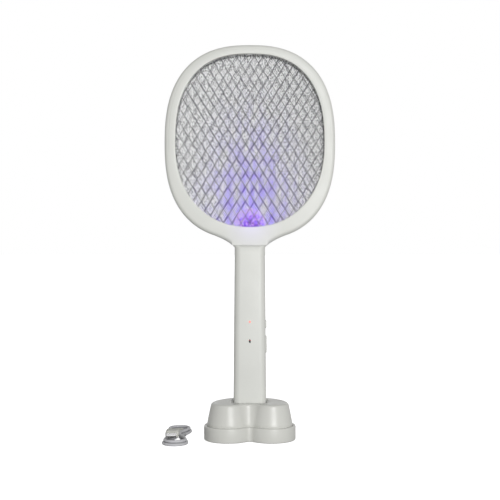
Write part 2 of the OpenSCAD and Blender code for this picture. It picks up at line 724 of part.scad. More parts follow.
module cable_hank() {
  color("lightgray") translate([hank_x, 0, 0]) linear_extrude(hank_h) {
    for (s = [-1, 1]) translate([0, s * hank_fold_y]) circle(hank_fold_r, $fn = 64);
    square([hank_waist, 2 * hank_fold_y], center = true);
  }
}

front_frame();
rear_frame();
front_guard_grid();
rear_guard_grid();
hv_grid();
front_spacer_ring();
rear_spacer_ring();
frame_screws();
uv_led_board();
uv_leds();
uv_lens();
handle_front_shell();
handle_rear_shell();
shell_screws();
main_circuit_board();
board_screws();
hv_transformer();
hv_capacitor();
hv_diodes();
battery_cell();
battery_tray();
battery_contacts();
battery_leads();
hv_leads();
uv_leads();
mode_switch_body();
mode_slider_knob();
trigger_button();
trigger_microswitch();
trigger_spring();
power_led();
indicator_light_pipe();
charge_led();
charge_window();
charging_socket();
stand_upper_shell();
stand_tray();
stand_socket();
stand_screws();
rubber_feet();
usb_a_shell();
usb_a_housing();
usb_a_tongue();
micro_usb_shell();
micro_usb_housing();
cable_tie();
cable_lead();
cable_hank();
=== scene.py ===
import math

import bmesh
import bpy
import numpy as np
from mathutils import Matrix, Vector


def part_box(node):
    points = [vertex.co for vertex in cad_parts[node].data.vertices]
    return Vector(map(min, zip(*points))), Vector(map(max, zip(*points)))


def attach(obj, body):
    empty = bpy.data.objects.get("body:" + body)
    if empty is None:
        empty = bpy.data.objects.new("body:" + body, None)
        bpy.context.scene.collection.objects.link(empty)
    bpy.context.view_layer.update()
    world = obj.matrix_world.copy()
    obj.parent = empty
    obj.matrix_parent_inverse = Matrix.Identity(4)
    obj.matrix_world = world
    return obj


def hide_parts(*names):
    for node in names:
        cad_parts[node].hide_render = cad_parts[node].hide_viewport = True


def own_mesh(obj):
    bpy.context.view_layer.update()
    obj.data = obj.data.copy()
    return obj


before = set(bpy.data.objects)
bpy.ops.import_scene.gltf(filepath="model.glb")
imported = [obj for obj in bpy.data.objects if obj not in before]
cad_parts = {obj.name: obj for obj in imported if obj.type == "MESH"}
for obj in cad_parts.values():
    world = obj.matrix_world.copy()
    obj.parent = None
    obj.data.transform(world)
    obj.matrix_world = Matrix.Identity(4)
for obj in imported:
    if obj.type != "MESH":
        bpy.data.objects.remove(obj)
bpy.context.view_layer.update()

# ---------------------------------------------------------------- sizes, in metres
MM = 0.001
TAU = 2 * math.pi

RING_LOW, RING_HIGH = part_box("front_frame")
HANDLE_LOW, HANDLE_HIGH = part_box("handle_front_shell")
STAND_LOW, STAND_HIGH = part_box("stand_upper_shell")
TRAY_LOW, TRAY_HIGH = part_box("stand_tray")
LENS_LOW, LENS_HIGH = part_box("uv_lens")

HALF_T = -RING_LOW[1]
HEAD_HALF_W = RING_HIGH[0]
HEAD_TOP_Z = RING_HIGH[2]
HEAD_UP = 120 * MM
HEAD_DOWN = 118 * MM
HEAD_Z = HEAD_TOP_Z - HEAD_UP
HEAD_POWER = 2.5
OPENING_POWER_DOWN = 2.2
RING_SIDE = 13.4 * MM
RING_TOP = 11.3 * MM
RING_BOTTOM = 15.8 * MM
SEAM_Z = HANDLE_HIGH[2]
SHOULDER_HALF_W = 21 * MM
SHOULDER_H = 2.5 * MM
SHOULDER_D_AT_SEAM = 24 * MM
SLIDER_TRAVEL = 3.5 * MM
LENS_DOME_R = 19 * MM
LENS_FOOT_HALF_W = 12 * MM
LENS_FAN_Z = HEAD_Z - HEAD_DOWN + RING_BOTTOM + 2.2 * MM
PART_GAP = 0.12 * MM


# ---------------------------------------------------------------- camera
def make_camera():
    """Level with the middle of the swatter, straight in front of it."""
    data = bpy.data.cameras.new("camera")
    data.lens = 70.3
    data.sensor_width = 36
    camera = bpy.data.objects.new("camera", data)
    camera.location = (0.0002, -1.2, 0.231)
    camera.rotation_euler = (math.pi / 2, 0, 0)
    bpy.context.collection.objects.link(camera)
    bpy.context.scene.camera = camera


make_camera()


# ---------------------------------------------------------------- mesh helpers
def new_object(name, verts, faces, smooth_angle=40):
    """A mesh object from arrays of vertices and faces. Edges sharper than smooth_angle stay sharp."""
    mesh = bpy.data.meshes.new(name)
    mesh.from_pydata(np.asarray(verts, float).reshape(-1, 3).tolist(), [], faces)
    mesh.validate()
    obj = bpy.data.objects.new(name, mesh)
    bpy.context.collection.objects.link(obj)
    shade(obj, smooth_angle)
    return obj


def shade(obj, smooth_angle=40):
    """Smooth shading, with edges sharper than the angle left sharp."""
    work = bmesh.new()
    work.from_mesh(obj.data)
    limit = math.radians(smooth_angle)
    for face in work.faces:
        face.smooth = True
    for edge in work.edges:
        edge.smooth = len(edge.link_faces) == 2 and edge.calc_face_angle(0) < limit
    work.to_mesh(obj.data)
    work.free()


def outward(obj):
    """Turns every face outwards."""
    work = bmesh.new()
    work.from_mesh(obj.data)
    bmesh.ops.recalc_face_normals(work, faces=work.faces)
    work.to_mesh(obj.data)
    work.free()
    return obj


def grid_faces(rows, cols, wrap_rows=False, wrap_cols=True, start=0):
    """The quads of a grid of rows x cols points, closed along either direction if asked."""
    r = np.arange(rows if wrap_rows else rows - 1)
    c = np.arange(cols if wrap_cols else cols - 1)
    a = r[:, None] * cols + c[None, :]
    b = r[:, None] * cols + (c[None, :] + 1) % cols
    d = ((r[:, None] + 1) % rows) * cols + c[None, :]
    e = ((r[:, None] + 1) % rows) * cols + (c[None, :] + 1) % cols
    return (np.stack([a, b, e, d], -1).reshape(-1, 4) + start).tolist()


def loft(name, loops, ring=False, caps=True, smooth_angle=40):
    """A surface through closed loops of points, all of one count. A ring joins the last loop to the first."""
    loops = np.asarray(loops, float)
    rows, cols = loops.shape[:2]
    faces = grid_faces(rows, cols, wrap_rows=ring)
    if caps and not ring:
        faces.append(list(range(cols))[::-1])
        faces.append([(rows - 1) * cols + i for i in range(cols)])
    return outward(new_object(name, loops, faces, smooth_angle))


def joined(name, objects, smooth_angle=40):
    """One object from several closed meshes."""
    verts, faces, start = [], [], 0
    for obj in objects:
        mesh = obj.data
        points = np.empty(len(mesh.vertices) * 3)
        mesh.vertices.foreach_get("co", points)
        verts.append(points.reshape(-1, 3))
        faces += [[i + start for i in p.vertices] for p in mesh.polygons]
        start += len(mesh.vertices)
        bpy.data.objects.remove(obj)
    return new_object(name, np.concatenate(verts), faces, smooth_angle)


def cut(obj, cutters, smooth_angle=35):
    """Takes the cutters out of the object with an exact boolean, applied to the mesh."""
    for cutter in cutters:
        modifier = obj.modifiers.new("cut", "BOOLEAN")
        modifier.operation = "DIFFERENCE"
        modifier.solver = "EXACT"
        modifier.object = cutter
    apply_modifiers(obj)
    for cutter in cutters:
        bpy.data.objects.remove(cutter)
    shade(obj, smooth_angle)
    return obj


def apply_modifiers(obj):
    """Puts the result of the object's modifiers into its mesh."""
    bpy.context.view_layer.update()
    evaluated = obj.evaluated_get(bpy.context.evaluated_depsgraph_get())
    mesh = bpy.data.meshes.new_from_object(evaluated)
    obj.modifiers.clear()
    obj.data = mesh


def middle_and_half(low, high):
    """The middle of a box and half its size."""
    low, high = np.asarray(low, float), np.asarray(high, float)
    return (low + high) / 2, (high - low) / 2


def box_middle(node):
    """The middle of a CAD node's box."""
    low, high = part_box(node)
    return [(a + b) / 2 for a, b in zip(low, high)]


def across_y(section, mid, y):
    """A flat section set across Y, about a middle."""
    return np.stack([mid[0] + section[:, 0], np.full(len(section), y), mid[2] + section[:, 1]], -1)


def rounded_section(half_w, half_d, radius, steps=10):
    """A rectangle with round corners as points, anticlockwise from the right."""
    turn = np.linspace(0, math.pi / 2, steps)
    arcs = []
    for k, (sx, sy) in enumerate([(1, 1), (-1, 1), (-1, -1), (1, -1)]):
        a = turn + k * math.pi / 2
        arcs.append(np.stack([sx * (half_w - radius) + radius * np.cos(a),
                              sy * (half_d - radius) + radius * np.sin(a)], -1))
    return np.concatenate(arcs)


def rounded_block(name, low, high, radius, edge, axis=2, steps=8, rise=5):
    """A block whose sides turn with a radius, and whose two end faces meet them in a quarter round."""
    mid, half = middle_and_half(low, high)
    u, v = [(1, 2), (2, 0), (0, 1)][axis]
    turn = np.linspace(0, math.pi / 2, rise)
    inset = np.concatenate([edge * (1 - np.sin(turn)), edge * (1 - np.cos(turn))])
    along = np.concatenate([-half[axis] + edge * (1 - np.cos(turn)), half[axis] - edge * (1 - np.sin(turn))])
    loops = []
    for shrink, w in zip(inset, along):
        corner = max(radius - shrink, 0.2 * radius)
        section = rounded_section(half[u] - shrink, half[v] - shrink, corner, steps)
        loop = np.zeros((len(section), 3))
        loop[:, u] = mid[u] + section[:, 0]
        loop[:, v] = mid[v] + section[:, 1]
        loop[:, axis] = mid[axis] + w
        loops.append(loop)
    return loft(name, loops)


def frames_along(path):
    """Unit tangents of a path and two unit sides that turn as little as they can along it."""
    path = np.asarray(path, float)
    along = np.gradient(path, axis=0)
    along /= np.linalg.norm(along, axis=1)[:, None]
    side = np.cross(along[0], [0, 0, 1.0] if abs(along[0][2]) < 0.9 else [1.0, 0, 0])
    sides = []
    for t in along:
        side = side - t * side.dot(t)
        side /= np.linalg.norm(side)
        sides.append(side)
    sides = np.array(sides)
    return along, sides, np.cross(along, sides)


def tube(name, path, radius, count=12, taper=None):
    """A round tube carried along a path. taper scales the radius at each point of the path."""
    path = np.asarray(path, float)
    _, side, other = frames_along(path)
    a = np.linspace(0, TAU, count, endpoint=False)
    scale = np.ones(len(path)) if taper is None else np.asarray(taper)
    loops = path[:, None, :] + radius * scale[:, None, None] * (
        np.cos(a)[None, :, None] * side[:, None, :] + np.sin(a)[None, :, None] * other[:, None, :])
    return loft(name, loops)


def resampled(path, step):
    """The same path with points an even distance apart."""
    path = np.asarray(path, float)
    run = np.concatenate([[0], np.cumsum(np.linalg.norm(np.diff(path, axis=0), axis=1))])
    count = max(int(round(run[-1] / step)), 2) + 1
    even = np.linspace(0, run[-1], count)
    return np.stack([np.interp(even, run, path[:, k]) for k in range(3)], -1)


def smoothstep(t):
    """Rises from 0 to 1 with level ends."""
    t = np.clip(t, 0, 1)
    return t * t * (3 - 2 * t)


def finish_piece(obj, body, slot_name, material, *nodes):
    """Gives a new piece its material and body, and hides the CAD nodes that it stands for."""
    obj.data.materials.clear()
    obj.data.materials.append(material)
    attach(obj, body)
    if nodes:
        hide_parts(*nodes)
    return obj


# ---------------------------------------------------------------- materials
def fill(tree, node, inputs):
    """Fills a node's sockets: an output is linked to its socket, and anything else is the socket's value."""
    for socket, given in inputs.items():
        if isinstance(given, bpy.types.NodeSocket):
            tree.links.new(given, node.inputs[socket])
        else:
            node.inputs[socket].default_value = given
    return node


def add_node(tree, kind, inputs, **settings):
    """A new node with its settings made and its sockets filled."""
    node = tree.nodes.new("ShaderNode" + kind)
    for setting, value in settings.items():
        setattr(node, setting, value)
    return fill(tree, node, inputs)


def maths(tree, operation, *inputs):
    """The result of a Math node, from values and outputs in the order of its sockets."""
    return add_node(tree, "Math", dict(enumerate(inputs)), operation=operation).outputs["Value"]


def spread(tree, source, low, high, to_low=0.0, to_high=1.0, **settings):
    """An output stretched from one range on to another, and held at its ends."""
    inputs = {"Value": source, "From Min": low, "From Max": high, "To Min": to_low, "To Max": to_high}
    return add_node(tree, "MapRange", inputs, **settings).outputs["Result"]


def mixed(tree, factor, colour, other):
    """A colour output that goes over to another, plain colour with a factor."""
    inputs = {"Factor": factor, "A": colour, "B": (*other, 1)}
    return add_node(tree, "Mix", inputs, data_type="RGBA").outputs["Result"]


def colour_ramp(tree, source, stops):
    """A ramp through several colours, driven by one output. Its first two stops are the ramp's own."""
    ramp = add_node(tree, "ValToRGB", {"Fac": source})
    elements = ramp.color_ramp.elements
    for k, (position, colour) in enumerate(stops):
        element = elements[k] if k < 2 else elements.new(position)
        element.position, element.color = position, (*colour, 1)
    return ramp.outputs["Color"]


def placed(tree, mapping):
    """The object's own coordinates, moved, turned or stretched."""
    coords = add_node(tree, "TexCoord", {}).outputs["Object"]
    return add_node(tree, "Mapping", {"Vector": coords, **mapping}).outputs["Vector"]


def distance(tree, mapping):
    """The distance from the middle of the object's own coordinates, once they are placed."""
    return add_node(tree, "VectorMath", {0: placed(tree, mapping)}, operation="LENGTH").outputs["Value"]


def object_noise(tree, scale, detail=2.0, stretch=(1, 1, 1)):
    """A noise over the object's own coordinates."""
    inputs = {"Vector": placed(tree, {"Scale": stretch}), "Scale": scale, "Detail": detail}
    return add_node(tree, "TexNoise", inputs).outputs["Fac"]


def new_material(name, colour, roughness, metallic=0.0):
    """A material whose shader has these plain values."""
    material = bpy.data.materials.new(name)
    material.use_nodes = True
    material.diffuse_color = (*colour, 1)
    tree = material.node_tree
    shader = tree.nodes["Principled BSDF"]
    fill(tree, shader, {"Base Color": (*colour, 1), "Roughness": roughness, "Metallic": metallic})
    return material, tree, shader


def vary_colour(tree, shader, noise, dark, light):
    """The base colour runs between two colours with a noise."""
    fill(tree, shader, {"Base Color": colour_ramp(tree, noise, [(NOISE_LOW, dark), (NOISE_HIGH, light)])})


def vary_roughness(tree, shader, noise, low, high):
    """The roughness runs between two values with a noise."""
    fill(tree, shader, {"Roughness": spread(tree, noise, NOISE_LOW, NOISE_HIGH, low, high)})


def bumped(tree, shader, height, depth, strength):
    """A bump of that depth in metres from a height output."""
    bump = add_node(tree, "Bump", {"Strength": strength, "Distance": depth, "Height": height})
    fill(tree, shader, {"Normal": bump.outputs["Normal"]})


def scaled(colour, times):
    """A colour made darker or brighter, up to white."""
    return tuple(min(1, times * c) for c in colour)


def glowing(tree, shader, strength, colour):
    """The shader gives off light of one colour. Its strength is a value or an output."""
    fill(tree, shader, {"Emission Strength": strength, "Emission Color": (*colour, 1)})


NOISE_LOW, NOISE_HIGH = 0.3, 0.7
LAMP_POINT = (2 * MM, (LENS_LOW[1] + LENS_HIGH[1]) / 2, LENS_FAN_Z + 3 * MM)
LENS_GLOW_POINT = (2 * MM, 0, LENS_FAN_Z + 1 * MM)


def lamp_glow(tree, shader, colour, reach, strength, rise, power, patchy=False):
    """Violet light from the lamp, painted on as the surface's own glow: it falls away with the distance, and
    less quickly upwards.

    Patchy light is broken up by a soft noise into beams."""
    to_lamp = (-LAMP_POINT[0], -LAMP_POINT[1], -LAMP_POINT[2] * rise)
    fall = spread(tree, distance(tree, {"Scale": (1, 1, rise), "Location": to_lamp}), 0.0, reach, 1.0, 0.0)
    lit_by = maths(tree, "MULTIPLY", maths(tree, "POWER", fall, power), strength)
    if patchy:
        beams = spread(tree, object_noise(tree, 95, 3, (1, 1, 0.35)), 0.36, 0.62, 0.25, 1.9)
        lit_by = maths(tree, "MULTIPLY", lit_by, beams)
    glowing(tree, shader, lit_by, colour)
    return lit_by


def moulded_plastic(name, colour, roughness=0.38, glow=0.0):
    """Satin moulded plastic: a fine even grain, slow drifts of shade and gloss."""
    material, tree, shader = new_material(name, colour, roughness)
    shader.inputs["Specular IOR Level"].default_value = 0.45
    vary_colour(tree, shader, object_noise(tree, 18, 3), scaled(colour, 0.965), scaled(colour, 1.02))
    vary_roughness(tree, shader, object_noise(tree, 60), roughness - 0.05, roughness + 0.06)
    bumped(tree, shader, object_noise(tree, 2600), 0.02 * MM, 0.5)
    # Painted light: the lamp's violet light is painted on as a glow of the plastic's own, strongest near the
    # lamp.
    if glow:
        lamp_glow(tree, shader, (0.36, 0.25, 1.0), 45 * MM, glow, rise=1.0, power=2.2)
    return material


def drawn_metal(name, colour, roughness, mottling=0.2, glow=0.0):
    """Bright drawn or plated metal with fine streaks and a mottled gloss."""
    material, tree, shader = new_material(name, colour, roughness, 1.0)
    mottle = object_noise(tree, 640, 3)
    vary_colour(tree, shader, mottle, scaled(colour, 1 - mottling), scaled(colour, 1 + mottling))
    streaks = object_noise(tree, 1500, 2, (1, 1, 0.2))
    vary_roughness(tree, shader, streaks, roughness - 0.08, roughness + 0.12)
    # Painted light: the lamp's violet light is painted on as a glow of the metal's own, strongest near the
    # lamp.
    if glow:
        lamp_glow(tree, shader, (0.24, 0.12, 1.0), 85 * MM, glow, rise=0.5, power=2.6)
    return material


def woven_metal(name):
    """The fine mesh's bright wire: each strand has its own shade, darkened and brightened in spots by a
    noise.

    The strands are painted darker where they run in under the lip, as painted shade of its shadow, and near
    the lamp its violet light is painted into their colour and as a glow of their own."""
    material, tree, shader = new_material(name, (0.6, 0.6, 0.62), 0.3, 1.0)
    strand, painted_lip_shade = [add_node(tree, "Attribute", {}, attribute_name=label).outputs["Fac"]
                         for label in STRAND_ATTRIBUTES]
    spots = spread(tree, object_noise(tree, 560), 0.43, 0.57)
    bright = maths(tree, "MULTIPLY_ADD", strand, 0.35, spots)
    # Painted shade: the strands darken towards their ends, where they run in under the lip and its shadow
    # falls on them.
    shaded_below_lip = maths(tree, "MULTIPLY_ADD", painted_lip_shade, -0.5, bright)
    wire = colour_ramp(tree, shaded_below_lip, [(0.1, (0.035, 0.035, 0.045)), (0.85, (1.0, 1.0, 1.0)),
                                      (0.45, (0.5, 0.5, 0.54))])
    # Painted light: the lamp's violet light tints the wire's colour and glows from it, patchy and twinkling
    # in spots.
    lit_by = lamp_glow(tree, shader, (0.17, 0.07, 0.9), 100 * MM, 1.0, rise=0.5, power=2.2, patchy=True)
    twinkle = spread(tree, object_noise(tree, 700), 0.4, 0.6, 0.15, 1.25)
    fill(tree, shader, {"Base Color": mixed(tree, lit_by, wire, (0.1, 0.05, 0.3)),
                        "Emission Strength": maths(tree, "MULTIPLY", twinkle, lit_by)})
    return material


def soft_cover(name, colour):
    """A cable's soft cover: dull, with a fine skin and slow drifts of shade."""
    material, tree, shader = new_material(name, colour, 0.5)
    shader.inputs["Sheen Weight"].default_value = 0.15
    vary_colour(tree, shader, object_noise(tree, 90, 3), scaled(colour, 0.93), scaled(colour, 1.03))
    bumped(tree, shader, object_noise(tree, 1800, 3), 0.04 * MM, 0.6)
    return material


def rubber(name, colour):
    """Dull rubber with a coarse skin."""
    material, tree, shader = new_material(name, colour, 0.8)
    grain = object_noise(tree, 900, 4)
    vary_colour(tree, shader, grain, colour, scaled(colour, 1.8))
    bumped(tree, shader, grain, 0.06 * MM, 0.7)
    return material


def circuit_board(name):
    """Green solder mask with copper tracks showing through as lighter lines."""
    material, tree, shader = new_material(name, (0.02, 0.16, 0.06), 0.3)
    tracks = add_node(tree, "TexBrick", {
        "Vector": placed(tree, {"Rotation": (math.pi / 2, 0, 0)}), "Scale": 180, "Mortar Size": 0.03,
        "Color1": (0.015, 0.13, 0.05, 1), "Color2": (0.02, 0.18, 0.07, 1), "Mortar": (0.08, 0.32, 0.12, 1)})
    fill(tree, shader, {"Base Color": tracks.outputs["Color"]})
    return material


def lit(name, colour, strength, base=None):
    """A lamp or lens that gives off its own light, brighter in mottled spots."""
    material, tree, shader = new_material(name, base or colour, 0.2)
    mottled = spread(tree, object_noise(tree, 500), 0.0, 1.0, 0.6 * strength, 1.4 * strength)
    glowing(tree, shader, mottled, colour)
    return material


def sparkling_lens(name):
    """A fan full of small prisms: deep violet low down, where the lamps are, and paler towards its rim.

    A noise moves the colour in and out, and its finest peaks catch the lamps and flash pink."""
    material, tree, shader = new_material(name, (0.08, 0.03, 0.25), 0.35)
    rim = spread(tree, distance(tree, {"Location": tuple(-at for at in LENS_GLOW_POINT)}), 0.0, LENS_DOME_R)
    wander = maths(tree, "MULTIPLY_ADD", object_noise(tree, 420, 3), 2.4, -1.2)
    depth = colour_ramp(tree, maths(tree, "ADD", wander, rim), [
        (0.1, (0.03, 0.0, 0.24)), (1.0, (0.62, 0.60, 0.82)), (0.4, (0.16, 0.02, 0.75)),
        (0.6, (0.26, 0.14, 0.95)), (0.8, (0.45, 0.38, 0.95))])
    fine = object_noise(tree, 620)
    flash = spread(tree, fine, 0.5, 0.62)
    fill(tree, shader, {"Emission Color": mixed(tree, flash, depth, (0.95, 0.55, 1.0)),
                        "Emission Strength": 0.7, "Specular IOR Level": 0.2})
    bumped(tree, shader, fine, 0.3 * MM, 0.8)
    return material


STRAND_ATTRIBUTES = ("shade", "painted_lip_shade")
HEAD_COLOUR = (0.63, 0.637, 0.602)
STAND_COLOUR = (0.59, 0.592, 0.556)
# The head's plastic carries the lamp's violet light as a painted glow; the handle's plastic does not.
head_plastic = moulded_plastic("head_plastic", HEAD_COLOUR, glow=0.35)
handle_plastic = moulded_plastic("handle_plastic", HEAD_COLOUR)
stand_plastic = moulded_plastic("stand_plastic", STAND_COLOUR, 0.33)
button_plastic = moulded_plastic("button_plastic", tuple(0.95 * c for c in HEAD_COLOUR), 0.42)
# The guard's metal carries a faint painted glow of the lamp's violet light.
guard_metal = drawn_metal("guard_metal", (0.15, 0.15, 0.16), 0.5, 0.3, glow=0.15)
fine_metal = woven_metal("fine_metal")
screw_metal = drawn_metal("screw_metal", (0.5, 0.5, 0.52), 0.35)
bright_metal = drawn_metal("bright_metal", (0.82, 0.82, 0.84), 0.16)
board_green = circuit_board("board_green")
black_plastic = moulded_plastic("black_plastic", (0.02, 0.02, 0.022), 0.4)
yellow_tape = moulded_plastic("yellow_tape", (0.7, 0.5, 0.06), 0.3)
dipped_resin = moulded_plastic("dipped_resin", (0.4, 0.06, 0.03), 0.25)
cell_sleeve = moulded_plastic("cell_sleeve", (0.07, 0.22, 0.5), 0.25)
wire_cover = soft_cover("wire_cover", (0.5, 0.06, 0.05))
red_lamp = lit("red_lamp", (1.0, 0.05, 0.03), 4)
red_lens = lit("red_lens", (1.0, 0.10, 0.07), 1.2, (0.9, 0.35, 0.3))
violet_lamp = lit("violet_lamp", (0.30, 0.10, 1.0), 12)
violet_lens = sparkling_lens("violet_lens")
dark_window = moulded_plastic("dark_window", (0.012, 0.012, 0.014), 0.18)
foot_rubber = rubber("foot_rubber", (0.03, 0.03, 0.03))
plug_plastic = soft_cover("plug_plastic", (0.47, 0.47, 0.43))
tongue_plastic = moulded_plastic("tongue_plastic", (0.78, 0.78, 0.78), 0.4)
tie_cover = soft_cover("tie_cover", (0.30, 0.30, 0.31))
cable_cover = soft_cover("cable_cover", (0.52, 0.52, 0.54))


# ---------------------------------------------------------------- charging cable
CABLE_D = 3.5 * MM
CABLE_R = CABLE_D / 2
HANK_X = -89 * MM
FOLD_Y = 38 * MM
FOLD_R = (10.6 * MM, 14.2 * MM, 12.4 * MM)
WAIST = (3.6 * MM, 7.2 * MM, 2.5 * MM)
LOW_Z = CABLE_R
HIGH_Z = 5.35 * MM
TIE_LIFT = 1.1 * MM
PLUG_ROUTE = ((-91.5, 0, 5.3), (-92, -4, 6.2), (-92.6, -8.5, 9), (-93, -12, 11), (-93, -13, 11.1))


def run_of_turn(side, from_y, to_y, from_r, waist, to_r):
    """One straight run of a turn: its half width swells from the waist to the fold as a cosine."""
    y = np.linspace(from_y, to_y, 60)
    radius = np.where(np.sign(y) == np.sign(from_y), from_r, to_r)
    half = waist + (radius - waist) * (0.5 - 0.5 * np.cos(math.pi * y / FOLD_Y))
    return np.stack([side * half, y, np.zeros_like(y)], -1)


def fold_of_turn(end, radius):
    """The half circle at one end of a turn, anticlockwise: from the right at the top, else from the left."""
    a = np.linspace(0, math.pi, 36) if end > 0 else np.linspace(math.pi, TAU, 36)
    return np.stack([radius * np.cos(a), end * FOLD_Y + radius * np.sin(a), np.zeros_like(a)], -1)


def at_height(points, height):
    """The points at one height, or at a height for each."""
    points = points.copy()
    points[:, 2] = height
    return points


def cable_path():
    """The whole cable: out of the small plug, three turns of the hank, then up to the large plug."""
    start_y = 14 * MM
    y = np.linspace(start_y, -FOLD_Y, 50)
    first = np.stack([np.where(y < 0, -FOLD_R[0] * (0.5 - 0.5 * np.cos(math.pi * y / FOLD_Y)), 0), y,
                      LOW_Z + (3 * MM - LOW_Z) * smoothstep((y - 4 * MM) / (start_y - 4 * MM))], -1)
    r, w = FOLD_R, WAIST
    climb = run_of_turn(-1, FOLD_Y, -FOLD_Y, r[1], w[1], r[2])
    climb = at_height(climb, LOW_Z + (HIGH_Z - LOW_Z) * smoothstep((12 * MM - climb[:, 1]) / (24 * MM)))
    down = run_of_turn(-1, FOLD_Y, 0, r[2], w[2], r[2])
    low = [fold_of_turn(-1, r[0]), run_of_turn(1, -FOLD_Y, FOLD_Y, r[0], w[0], r[0]), fold_of_turn(1, r[0]),
           run_of_turn(-1, FOLD_Y, -FOLD_Y, r[0], w[0], r[1]), fold_of_turn(-1, r[1]),
           run_of_turn(1, -FOLD_Y, FOLD_Y, r[1], w[1], r[1]), fold_of_turn(1, r[1])]
    high = [fold_of_turn(-1, r[2]), run_of_turn(1, -FOLD_Y, FOLD_Y, r[2], w[2], r[2]), fold_of_turn(1, r[2]),
            down]
    parts = [first] + [at_height(p, LOW_Z) for p in low] + [climb] + [at_height(p, HIGH_Z) for p in high]
    path = np.concatenate(parts)
    path[:, 2] += TIE_LIFT * np.exp(-(path[:, 1] / (9 * MM)) ** 2)
    path[:, 0] += HANK_X
    plug_end = np.array(PLUG_ROUTE[1:]) * MM
    path = np.concatenate([path[:-1], plug_end])
    keep = np.concatenate([[True], np.linalg.norm(np.diff(path, axis=0), axis=1) > 0.05 * MM])
    return smoothed(resampled(path[keep], 1.6 * MM))


def smoothed(path, rounds=3):
    """Each inner point moves towards the mean of its neighbours, a few times over."""
    for _ in range(rounds):
        path = path.copy()
        path[1:-1] = 0.5 * path[1:-1] + 0.25 * (path[:-2] + path[2:])
    return path


def make_cable():
    """The cable as a round tube along its path."""
    path = cable_path()
    cable = tube("charging_cable", path, CABLE_R, 14)
    finish_piece(cable, "stand", "cable_cover", cable_cover, "cable_lead", "cable_hank")
    return cable, path


cable, cable_route = make_cable()


def make_cable_tie():
    """A twist tie: a flat band round the waist of the hank, its two ends twisted together at the right."""
    mid_z = (0.3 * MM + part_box("cable_tie")[1][2]) / 2
    a = np.linspace(0, TAU, 72, endpoint=False)
    half_w, half_h = 9.5 * MM, mid_z - 0.4 * MM
    loop_x = HANK_X + half_w * np.sign(np.cos(a)) * np.abs(np.cos(a)) ** 0.6
    loop_z = mid_z + half_h * np.sign(np.sin(a)) * np.abs(np.sin(a)) ** 0.6
    rows = []
    for grow, y in [(0, -0.8), (0.35, -0.8), (0.35, 0.8), (0, 0.8)]:
        swell = 1 + grow * MM / half_w
        rows.append(np.stack([HANK_X + (loop_x - HANK_X) * swell, np.full_like(a, y * MM),
                              mid_z + (loop_z - mid_z) * swell], -1))
    band = loft("tie_band", np.array(rows), ring=True)
    t = np.linspace(0, 1, 60)
    ends = []
    for side in (0, math.pi):
        turn = TAU * 3 * t + side
        gather = 0.7 * MM * np.exp(-t * 9) * np.cos(side)
        path = np.stack([HANK_X + 10.3 * MM + 0.5 * MM * np.cos(turn) - gather, 0.6 * MM - 5.8 * MM * t,
                         3.7 * MM + 0.5 * MM * np.sin(turn)], -1)
        ends.append(tube("tie_end", path, 0.42 * MM, 8))
    tie = joined("twist_tie", [band] + ends)
    return finish_piece(tie, "stand", "tie_wire", tie_cover, "cable_tie")


def shell_with_window(name, low, high, wall, corner, holes):
    """A pressed metal sleeve along Y, open towards its mouth, with square windows cut in its flat sides."""
    mid, half = middle_and_half(low, high)
    outer = rounded_section(half[0], half[2], corner, 5)
    inner = rounded_section(half[0] - wall, half[2] - wall, corner - 0.6 * wall, 5)
    mouth = low[1] if name.startswith("large") else high[1]
    back = high[1] if mouth == low[1] else low[1]
    corners = [(outer, back), (outer, mouth), (inner, mouth), (inner, back)]
    loops = [across_y(section, mid, y) for section, y in corners]
    sleeve = loft(name, np.array(loops), ring=True, smooth_angle=30)
    cutters = []
    for x, y, size in holes:
        for flat_z in (mid[2] - half[2], mid[2] + half[2]):
            low_corner = (mid[0] + x - size, y - size, flat_z - 2 * wall)
            high_corner = (mid[0] + x + size, y + size, flat_z + 2 * wall)
            cutters.append(rounded_block("window_cutter", low_corner, high_corner, 0.15 * MM, 0.02 * MM))
    return cut(sleeve, cutters, 30)


def ribbed_grip(name, low, high, corner, ribs, rib_low, rib_high):
    """A plug's moulded body: a rounded block along Y that swells a little in its middle, with cross ribs."""
    mid, half = middle_and_half(low, high)
    y = np.linspace(low[1], high[1], 120)
    t = (y - low[1]) / (high[1] - low[1])
    edge = 1.0 * MM
    near_end = np.minimum(y - low[1], high[1] - y)
    inset = edge * (1 - np.sqrt(np.clip(1 - (1 - np.clip(near_end / edge, 0, 1)) ** 2, 0, 1)))
    wave = 0.5 - 0.5 * np.cos(TAU * ribs * (t - rib_low) / (rib_high - rib_low))
    wave = np.where((t > rib_low) & (t < rib_high), wave, 0)
    inset = inset + 0.35 * MM * wave
    loops = []
    for yy, shrink in zip(y, inset):
        section = rounded_section(half[0] - shrink, half[2] - shrink, max(corner - shrink, 0.4 * corner), 7)
        loops.append(across_y(section, mid, yy))
    return loft(name, np.array(loops), smooth_angle=50)


def strain_relief(name, start, end, from_r, to_r, rings):
    """A tapered sleeve round the cable with ring grooves: its radius falls from end to end in waves."""
    t = np.linspace(0, 1, 60)
    path = np.asarray(start)[None, :] * (1 - t)[:, None] + np.asarray(end)[None, :] * t[:, None]
    radius = from_r + (to_r - from_r) * t - 0.3 * MM * (0.5 - 0.5 * np.cos(TAU * rings * t)) * (t < 0.97)
    return tube(name, path, 1.0, 20, radius)


